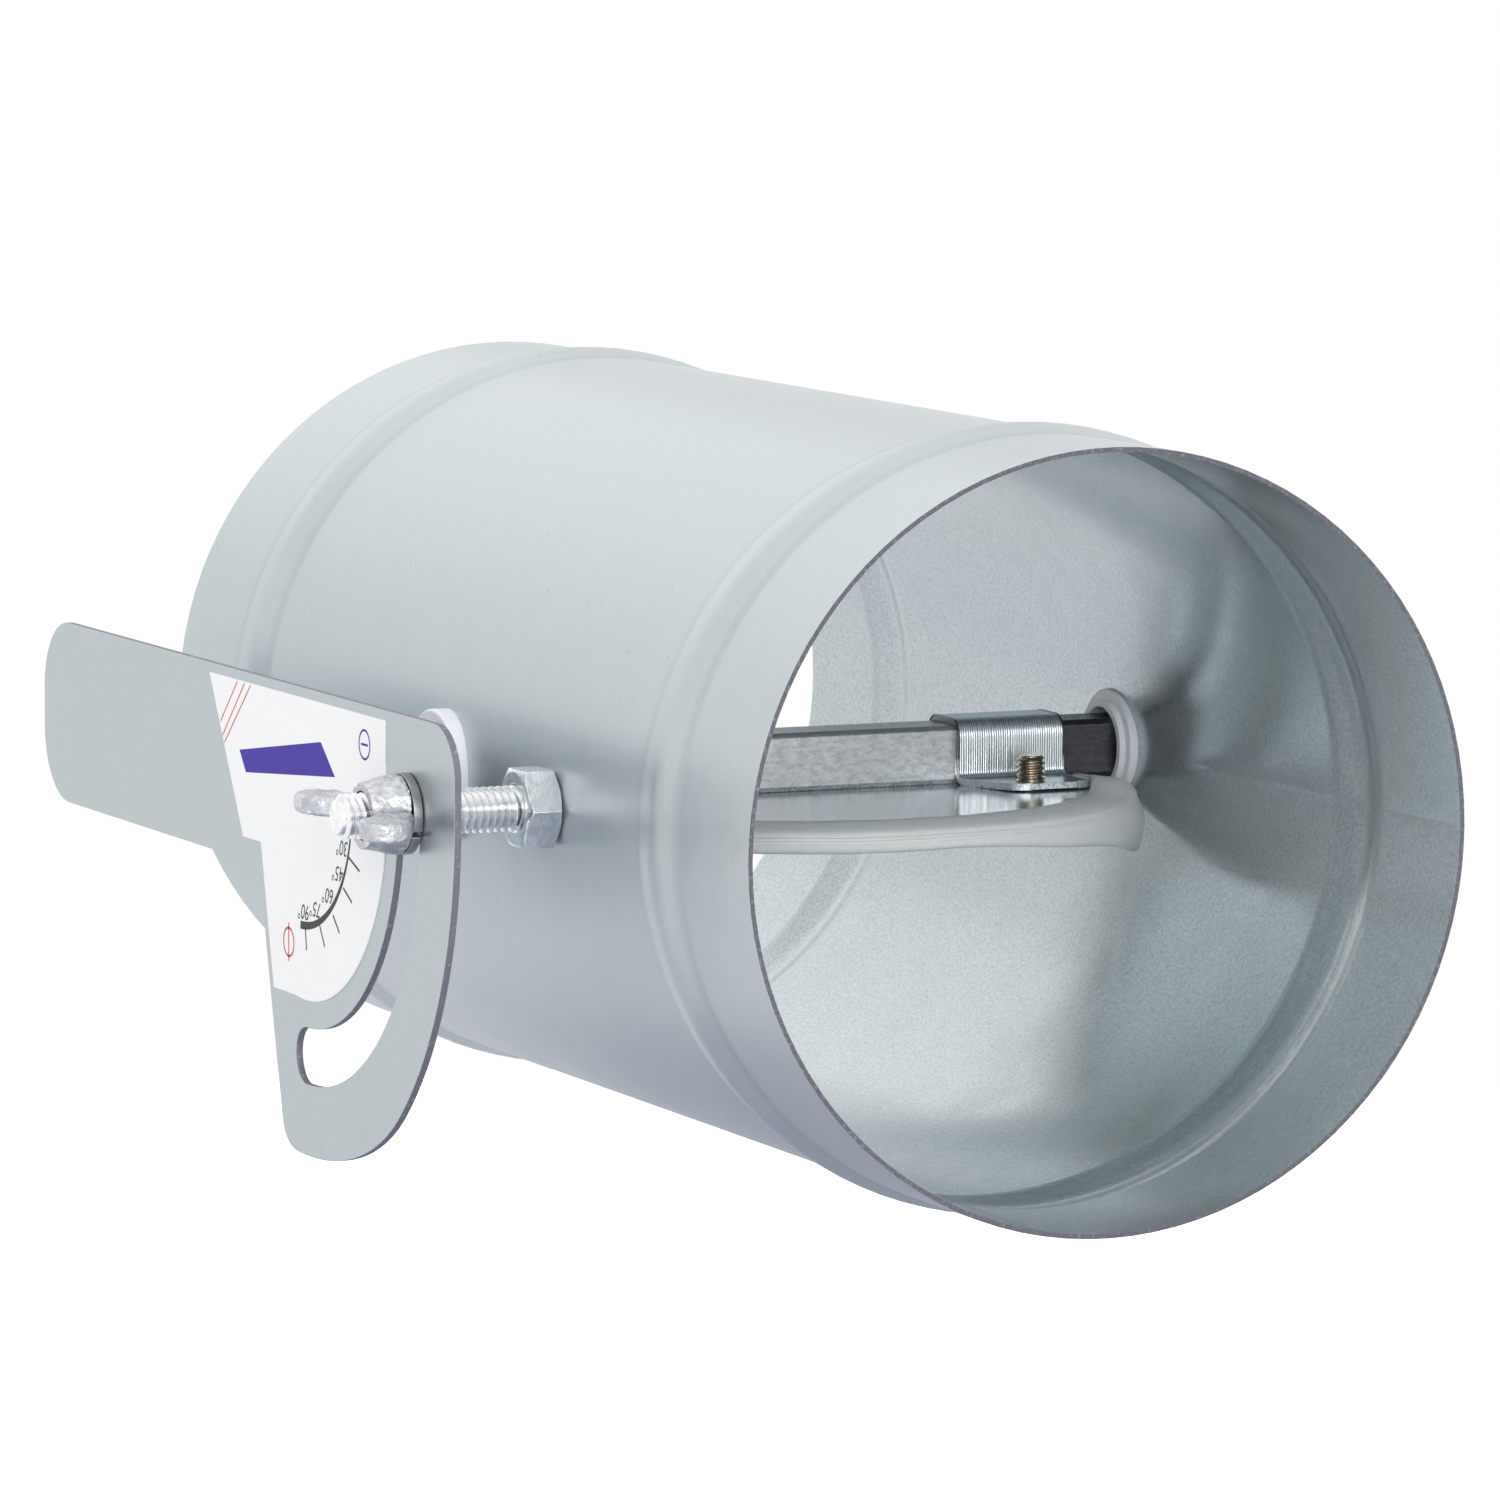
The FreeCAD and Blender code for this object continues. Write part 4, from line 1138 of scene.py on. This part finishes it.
class DAMPER_OT_seal(bpy.types.Operator):
    """Build the soft seal round the blade, with the lip that droops where it rubs on the wall"""

    bl_idname = "damper.seal"
    bl_label = "Blade seal"

    steps = 540
    lip_length = 7.0 * mm
    free_reach = 49.25 * mm
    # Angle of each side bush and how strongly the seal droops after it
    droop_ends = ((0, 1.0), (180, 0.6))
    # Each hump's place after a bush and its width in degrees, and its height
    droop_peak = 30
    droop_spread = 16
    droop = 2.7 * mm
    sag_peak = 40
    sag_spread = 30
    sag = 2.2 * mm
    ear_peak = 23
    ear_spread = 9
    ear_lift = 1.1 * mm
    # A hump's foot lies this many widths from its peak
    hump_foot = 1.6
    # How far the drooping lip swings out towards its bush
    tip_reach = 1.2 * mm
    # Waves of the broad ripple and of the fine unevenness, from the blade's middle to its rim
    ripple_cells = 2.3
    ripple_level = 1.7
    least_ripple = 0.2
    fine_cells = 9
    fine_per_metre = 900
    fine_share = 0.3
    # How soon along the section the sag is full, and how soon the ear's rise is gone
    sag_gain = 1.4
    ear_fade = 5
    clip_depth = 0.5 * mm
    # How steeply the lip's sides are drawn in beside the bushes, at its clip and at its free part
    clip_slope = 0.6
    lip_slope = 0.25

    def execute(self, context):
        wave = context.scene.damper_sizes.lip_wave
        outer = (seal_high.y - seal_low.y) / 2
        top = seal_high.z
        low = seal_low.z
        over = disc_high.z
        under = disc_low.z
        inner = outer - self.lip_length
        # Radius, height and how much each point takes part in the droop
        section = [
            (inner, over + 0.03 * mm, 0.0), (inner + 0.05 * mm, top - 0.2 * mm, 0.0),
            (inner + 0.45 * mm, top, 0.0), (inner + 1.6 * mm, top - 0.12 * mm, 0.0),
            (inner + 2.6 * mm, top - 0.3 * mm, 0.0),
            (outer - 3.3 * mm, top - 0.42 * mm, 0.0), (outer - 2.4 * mm, top - 0.62 * mm, 0.02),
            (outer - 1.5 * mm, over - 0.10 * mm, 0.05), (outer - 0.95 * mm, over - 0.45 * mm, 0.08),
            (outer - 0.90 * mm, over - 0.72 * mm, 0.12), (outer - 0.55 * mm, over - 0.82 * mm, 0.16),
            (outer - 0.50 * mm, over - 1.12 * mm, 0.24), (outer - 0.22 * mm, over - 1.22 * mm, 0.3),
            (outer - 0.20 * mm, over - 1.55 * mm, 0.42), (outer, over - 1.68 * mm, 0.5),
            (outer, low + 0.75 * mm, 0.72), (outer - 0.10 * mm, low + 0.35 * mm, 0.92),
            (outer - 0.35 * mm, low + 0.08 * mm, 1.0), (outer - 0.75 * mm, low + 0.06 * mm, 1.0),
            (outer - 1.05 * mm, low + 0.3 * mm, 0.9), (outer - 1.15 * mm, low + 0.65 * mm, 0.55),
            (outer - 1.45 * mm, low + 0.85 * mm, 0.2), (outer - 2.4 * mm, low + 0.95 * mm, 0.05),
            (inner + 1.6 * mm, under - 0.95 * mm, 0.0), (inner + 0.45 * mm, under - 0.75 * mm, 0.0),
            (inner + 0.05 * mm, under - 0.5 * mm, 0.0), (inner, under - 0.03 * mm, 0.0),
        ]
        shape = bmesh.new()
        rows = [self.row(radius, height, share, outer, wave) for radius, height, share in section]
        lathe_rows(shape, rows, closed_rows=True)
        mesh = mesh_from(shape, "silicone_seal", 50)
        new_piece("silicone_seal", mesh, finish_of("Silicone"), "blade", ["blade_seal"])
        return {"FINISHED"}

    def row(self, radius, height, share, outer, wave):
        """One line of the section, carried once round the blade."""
        flat = seal_high.x
        points = []
        for step in range(self.steps):
            angle = 360 * step / self.steps
            across = math.cos(angle * degree)
            forward = -math.sin(angle * degree)
            broad = Vector((across * self.ripple_cells, forward * self.ripple_cells, self.ripple_level))
            small = Vector((across * self.fine_cells, forward * self.fine_cells,
                            radius * self.fine_per_metre))
            ripple = wave * noise.noise(broad)
            fine = self.fine_share * wave * noise.noise(small)
            fall = self.humps(angle, self.droop_peak, self.droop_spread)
            sagging = self.humps(angle, self.sag_peak, self.sag_spread)
            over_ear = self.humps(angle, self.ear_peak, self.ear_spread)
            above = height > disc_high.z - self.clip_depth
            on_lip = max(0.0, 1 - share * self.ear_fade) if above else 0.0
            rise = ripple * (self.least_ripple + share) + fine + over_ear * self.ear_lift * on_lip
            drop = fall * self.droop * share + sagging * self.sag * min(1.0, share * self.sag_gain)
            z = min(height + rise, seal_high.z + self.ear_lift) - drop
            x = radius * across
            limit = flat - (outer - radius) * (self.lip_slope if share else self.clip_slope)
            x = max(-limit, min(limit, x)) + math.copysign(fall * share * self.tip_reach, across)
            y = radius * forward
            reach = Vector((x, y, z))
            if reach.length > self.free_reach:
                reach *= self.free_reach / reach.length
            points.append((reach.x, shaft_y + reach.y, reach.z))
        return points

    def humps(self, angle, peak, width):
        """Height at an angle of two smooth humps, one after each side bush."""
        height = 0.0
        for bush, size in self.droop_ends:
            away = abs((angle - bush - peak + 180) % 360 - 180) / width
            height += size * (0.5 + 0.5 * math.cos(math.pi * min(1.0, away / self.hump_foot)))
        return height


class DAMPER_OT_inner_bushes(bpy.types.Operator):
    """Build the nylon rings inside the tube with their rounded edges"""

    bl_idname = "damper.inner_bushes"
    bl_label = "Inner bushes"

    wall_inside = 49.4 * mm
    into_wall = 0.1 * mm
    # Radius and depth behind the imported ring's face of each point, in millimetres
    profile = ((5.3, 2.1), (5.3, 1.1), (5.36, 0.95), (5.5, 0.9), (7.2, 0.9), (7.45, 0.95), (7.58, 1.1),
               (7.62, 1.35), (7.62, 1.7), (7.62, 2.1))
    samples = 96

    def execute(self, context):
        for side, sign in (("right", 1), ("left", -1)):
            node = "bush_inner_" + side
            low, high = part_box(node)
            face = low.x if sign > 0 else high.x
            shape = bmesh.new()
            rows = []
            for radius, depth in self.profile:
                row = []
                for sample in range(self.samples):
                    angle = 2 * math.pi * sample / self.samples
                    y = radius * mm * math.cos(angle)
                    z = radius * mm * math.sin(angle)
                    bed = math.sqrt(self.wall_inside ** 2 - z ** 2) + self.into_wall
                    row.append((sign * min(abs(face) + depth * mm, bed), shaft_y + y, z))
                rows.append(row)
            lathe_rows(shape, rows, closed_rows=True)
            mesh = mesh_from(shape, "ring_bush_" + side, 50)
            new_piece("ring_bush_" + side, mesh, finish_of("Nylon"), "housing", [node])
        return {"FINISHED"}


def dial_point(radius, angle, lift):
    """Point on the label's face: an angle about the shaft from straight ahead, down as it grows."""
    return Vector((label_face - lift, shaft_y - radius * math.cos(angle), -radius * math.sin(angle)))


def printed_strip(shape, left, right):
    """A strip of ink between two runs of points."""
    first = [shape.verts.new(point) for point in left]
    second = [shape.verts.new(point) for point in right]
    for index in range(len(first) - 1):
        shape.faces.new((first[index], first[index + 1], second[index + 1], second[index]))


def printed_line(shape, start, end, width):
    """A straight inked line on the label from one (y, z) place to another."""
    first = Vector((0, *start))
    last = Vector((0, *end))
    side = (last - first).normalized().cross(x_axis) * width / 2
    face = Vector((label_face - ink_lift, 0, 0))
    printed_strip(shape, [face + first - side, face + last - side],
                  [face + first + side, face + last + side])


class DAMPER_OT_label_print(bpy.types.Operator):
    """Print the dial, its numbers and its signs on the label"""

    bl_idname = "damper.label_print"
    bl_label = "Label print"

    arc_near = 16.8 * mm
    arc_far = 19.2 * mm
    thin = 0.3 * mm
    thick = 1.1 * mm
    arc_end = 95
    tick_width = 0.34 * mm
    slanted_width = 0.22 * mm
    slope_of_numbers = 0.25
    # Angle in degrees and radius in millimetres of each number
    numbers = {30: (27.5, 15.3), 45: (41.6, 16.0), 60: (59.1, 16.3), 75: (76.8, 16.8), 90: (91.2, 17.2)}
    # Angle and radius of each tick's inner and outer end
    ticks = (((27.3, 17.7), (25.9, 21.8)), ((41.9, 18.55), (39.6, 21.9)), ((58.4, 19.3), (56.2, 22.3)),
             ((73.9, 19.15), (71.3, 22.2)), ((89.7, 19.4), (88.7, 22.3)))
    # Places along the duct and up from the shaft, in millimetres
    banner = ((124.2, 1.8), (94.2, 6.0), (89.1, 1.9), (121.8, -1.0))
    slanted_lines = (((124.9, 11.0), (131.4, 4.9)), ((122.2, 11.0), (130.6, 3.1)),
                     ((120.0, 10.9), (129.9, 2.2)))
    open_sign = (78.6, 7.3)
    closed_sign = (106.0, -22.0)
    ring_inner = 1.75
    ring_outer = 2.05
    open_bar_reach = 1.2
    closed_bar_reach = 2.6
    bar_width = 0.3 * mm

    def execute(self, context):
        self.dial()
        self.number_row(context.scene.damper_sizes.number_size)
        self.colour_print()
        self.signs()
        return {"FINISHED"}

    def put(self, name, shape, finish):
        """One colour of print as a piece on the blade's body."""
        mesh = mesh_from(shape, name)
        new_piece(name, mesh, finish_of(finish), "blade")

    def dial(self):
        """The growing arc and its five ticks."""
        shape = bmesh.new()
        steps = 60
        left = []
        right = []
        for step in range(steps + 1):
            share = step / steps
            angle = share * self.arc_end * degree
            middle = self.arc_near + (self.arc_far - self.arc_near) * share
            half = (self.thin + (self.thick - self.thin) * share) / 2
            left.append(dial_point(middle - half, angle, ink_lift))
            right.append(dial_point(middle + half, angle, ink_lift))
        printed_strip(shape, left, right)
        for inner, outer in self.ticks:
            start = dial_point(inner[1] * mm, inner[0] * degree, ink_lift)
            end = dial_point(outer[1] * mm, outer[0] * degree, ink_lift)
            printed_line(shape, (start.y, start.z), (end.y, end.z), self.tick_width)
        self.put("dial_scale", shape, "Dark ink")

    def number_row(self, size):
        """The dial numbers inside the arc, read from above."""
        for number, (angle, radius) in self.numbers.items():
            words = bpy.data.curves.new("number", "FONT")
            words.body = str(number) + "°"
            words.size = size
            words.shear = self.slope_of_numbers
            words.align_x = "CENTER"
            words.align_y = "CENTER"
            holder = bpy.data.objects.new("number", words)
            bpy.context.scene.collection.objects.link(holder)
            graph = bpy.context.evaluated_depsgraph_get()
            mesh = bpy.data.meshes.new_from_object(holder.evaluated_get(graph))
            bpy.data.objects.remove(holder)
            centre = dial_point(radius * mm, angle * degree, ink_lift)
            lay = Matrix((y_axis, -z_axis, -x_axis)).transposed().to_4x4()
            lay.translation = centre
            mesh.transform(lay)
            new_piece("number_" + str(number), mesh, finish_of("Dark ink"), "blade")

    def colour_print(self):
        """The violet banner and three slanted red lines."""
        shape = bmesh.new()
        corners = [Vector((label_face - ink_lift, y * mm, z * mm)) for y, z in self.banner]
        shape.faces.new([shape.verts.new(corner) for corner in corners])
        self.put("banner", shape, "Violet ink")
        shape = bmesh.new()
        for start, end in self.slanted_lines:
            printed_line(shape, (start[0] * mm, start[1] * mm), (end[0] * mm, end[1] * mm),
                         self.slanted_width)
        self.put("slanted_lines", shape, "Red ink")

    def signs(self):
        """Open and closed signs: a ring with a bar along or across the duct."""
        for name, centre, finish, across in (("open_sign", self.open_sign, "Violet ink", False),
                                             ("closed_sign", self.closed_sign, "Red ink", True)):
            shape = bmesh.new()
            steps = 36
            left = []
            right = []
            for step in range(steps + 1):
                angle = 2 * math.pi * step / steps
                for run, radius in ((left, self.ring_inner * mm), (right, self.ring_outer * mm)):
                    y = centre[0] * mm + radius * math.cos(angle)
                    z = centre[1] * mm + radius * math.sin(angle)
                    run.append(Vector((label_face - ink_lift, y, z)))
            printed_strip(shape, left, right)
            reach = self.closed_bar_reach if across else self.open_bar_reach
            ends = ((0, reach), (0, -reach)) if across else ((reach, 0), (-reach, 0))
            start, end = [((centre[0] + y) * mm, (centre[1] + z) * mm) for y, z in ends]
            printed_line(shape, start, end, self.bar_width)
            self.put(name, shape, finish)


class DAMPER_OT_stage(bpy.types.Operator):
    """Set the floor, the soft lights and the camera"""

    bl_idname = "damper.stage"
    bl_label = "Stage"

    floor_height = -125.0 * mm
    # Place, direction to the right and line of sight of the photograph's camera, fitted to its rims
    camera_place = (-0.5079, -1.0283, 0.1438)
    camera_right = (0.913622, -0.406549, 0.003575)
    camera_sight = (0.404254, 0.907460, -0.114432)
    camera_lens = 221.1
    plain_level = 0.86
    floor_reach = 0.55
    floor_sides = 96
    # Distances from the damper over which the floor turns from its shadow colour to its plain one
    shadow_inner = 0.11
    shadow_outer = 0.23
    # How white the camera sees the floor, near and far, and how much of it metal mirrors far away
    seen_near = 0.60
    seen_far = 0.75
    mirrored_far = 0.08
    floor_colour = (0.87, 0.88, 0.90)
    shadow_colours = ((0.46, 0.48, 0.58), (0.50, 0.52, 0.62))
    # Name, place, width, power in watts and colour of each lamp
    softboxes = (
        ("top_softbox", (-0.25, 0.0, 1.10), 1.1, 1.1, (1.0, 1.0, 1.0)),
        ("front_softbox", (-0.40, -1.25, 0.40), 0.7, 6.0, (1.0, 0.99, 0.98)),
        ("rear_softbox", (0.0, 1.50, 0.70), 0.9, 0.6, (1.0, 1.0, 1.0)),
    )

    def execute(self, context):
        self.camera(context.scene)
        self.world(context.scene)
        self.floor()
        self.lamps()
        context.scene.view_settings.view_transform = "Standard"
        return {"FINISHED"}

    def camera(self, scene):
        """The photograph's viewpoint."""
        data = bpy.data.cameras.new("camera")
        data.lens = self.camera_lens
        data.sensor_width = 36.0
        data.clip_start = 0.05
        data.clip_end = 50.0
        camera = bpy.data.objects.new("camera", data)
        scene.collection.objects.link(camera)
        sight = Vector(self.camera_sight).normalized()
        right = Vector(self.camera_right)
        right = (right - sight * right.dot(sight)).normalized()
        up = right.cross(sight)
        turn = Matrix((right, up, -sight)).transposed().to_4x4()
        turn.translation = self.camera_place
        camera.matrix_world = turn
        scene.camera = camera

    def world(self, scene):
        """A white surround, plain to the camera and in the metal, and a little dimmer as a light."""
        world = bpy.data.worlds.new("studio")
        scene.world = world
        world.use_nodes = True
        tree = world.node_tree
        tree.nodes.clear()
        path = add(tree, "ShaderNodeLightPath").outputs
        seen = maths(tree, "MAXIMUM", path["Is Camera Ray"], path["Is Transmission Ray"])
        seen = maths(tree, "MAXIMUM", seen, path["Is Glossy Ray"])
        level = maths(tree, "MAXIMUM", seen, self.plain_level)
        background = add(tree, "ShaderNodeBackground", {"Color": (1, 1, 1, 1), "Strength": level})
        output = add(tree, "ShaderNodeOutputWorld")
        tree.links.new(background.outputs[0], output.inputs[0])

    def floor(self):
        """A pale round floor, white to the camera and a little darker under the damper."""
        shape = bmesh.new()
        rim = []
        for step in range(self.floor_sides):
            angle = 2 * math.pi * step / self.floor_sides
            x = self.floor_reach * math.cos(angle)
            y = shaft_y + self.floor_reach * math.sin(angle)
            rim.append(shape.verts.new((x, y, self.floor_height)))
        shape.faces.new(rim)
        mesh = mesh_from(shape, "floor")
        material, tree, shader = new_material("Pale floor")
        place = object_place(tree)
        away = add(tree, "ShaderNodeVectorMath", {0: place, 1: (0, shaft_y, self.floor_height)},
                   operation="DISTANCE")
        far = spread(tree, away.outputs["Value"], self.shadow_inner, self.shadow_outer)
        shade = cloud(tree, place, 0.3, 2.0)
        near_colour = blend_colour(tree, shade, *self.shadow_colours)
        colour = blend_colour(tree, far, near_colour, self.floor_colour)
        tree.links.new(colour, shader.inputs["Base Color"])
        shader.inputs["Roughness"].default_value = 0.8
        path = add(tree, "ShaderNodeLightPath").outputs
        whiteness = spread(tree, far, 0.0, 1.0, self.seen_near, self.seen_far)
        seen = times(tree, path["Is Camera Ray"], whiteness)
        other_rays = maths(tree, "MAXIMUM", path["Is Glossy Ray"], path["Is Transmission Ray"])
        mirrored = times(tree, other_rays, spread(tree, far, 0.0, 1.0, 0.0, self.mirrored_far))
        seen = maths(tree, "MAXIMUM", seen, mirrored)
        glow = add(tree, "ShaderNodeEmission", {"Color": (1, 1, 1, 1), "Strength": seen})
        both = add(tree, "ShaderNodeAddShader", {0: shader.outputs[0], 1: glow.outputs[0]})
        output = next(node for node in tree.nodes if node.type == "OUTPUT_MATERIAL")
        tree.links.new(both.outputs[0], output.inputs[0])
        mesh.materials.append(material)
        floor = bpy.data.objects.new("floor", mesh)
        bpy.context.scene.collection.objects.link(floor)

    def lamps(self):
        """One broad softbox above, one in front at the left and one behind."""
        centre = Vector((0, shaft_y, 0))
        for name, place, size, power, colour in self.softboxes:
            data = bpy.data.lights.new(name, "AREA")
            data.shape = "SQUARE"
            data.size = size
            data.energy = power
            data.color = colour
            lamp = bpy.data.objects.new(name, data)
            lamp.location = place
            lamp.rotation_mode = "QUATERNION"
            lamp.rotation_quaternion = (centre - Vector(place)).to_track_quat("-Z", "Y")
            bpy.context.scene.collection.objects.link(lamp)


class DAMPER_PT_dressing(bpy.types.Panel):
    """Sizes, colours and steps of the damper's dressing."""

    bl_label = "Damper"
    bl_idname = "DAMPER_PT_dressing"
    bl_space_type = "VIEW_3D"
    bl_region_type = "UI"
    bl_category = "Damper"

    def draw(self, context):
        """List the settings, then a button for each step."""
        for group in (context.scene.damper_sizes, context.scene.damper_colours):
            box = self.layout.box()
            for name in group.bl_rna.properties.keys():
                if name not in ("name", "rna_type"):
                    box.prop(group, name)
        for operator in piece_operators:
            self.layout.operator(operator.bl_idname)


piece_operators = (
    DAMPER_OT_finishes,
    DAMPER_OT_carried_solids,
    DAMPER_OT_handle,
    DAMPER_OT_label_print,
    DAMPER_OT_shaft,
    DAMPER_OT_saddles,
    DAMPER_OT_saddle_screws,
    DAMPER_OT_seal,
    DAMPER_OT_inner_bushes,
    DAMPER_OT_clamp_bolt,
    DAMPER_OT_wall_nut,
    DAMPER_OT_lock_washer,
    DAMPER_OT_wing_nut,
    DAMPER_OT_stage,
)
registered_classes = (DamperSizes, DamperColours) + piece_operators + (DAMPER_PT_dressing,)


def register():
    """Register the classes and hang the settings on the scene."""
    for item in registered_classes:
        bpy.utils.register_class(item)
    bpy.types.Scene.damper_sizes = bpy.props.PointerProperty(type=DamperSizes)
    bpy.types.Scene.damper_colours = bpy.props.PointerProperty(type=DamperColours)


def unregister():
    """Take the settings and classes away."""
    del bpy.types.Scene.damper_colours
    del bpy.types.Scene.damper_sizes
    for item in reversed(registered_classes):
        bpy.utils.unregister_class(item)


def main():
    """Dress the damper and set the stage."""
    register()
    for operator in piece_operators:
        group, name = operator.bl_idname.split(".")
        getattr(getattr(bpy.ops, group), name)()


if __name__ == "__main__":
    main()
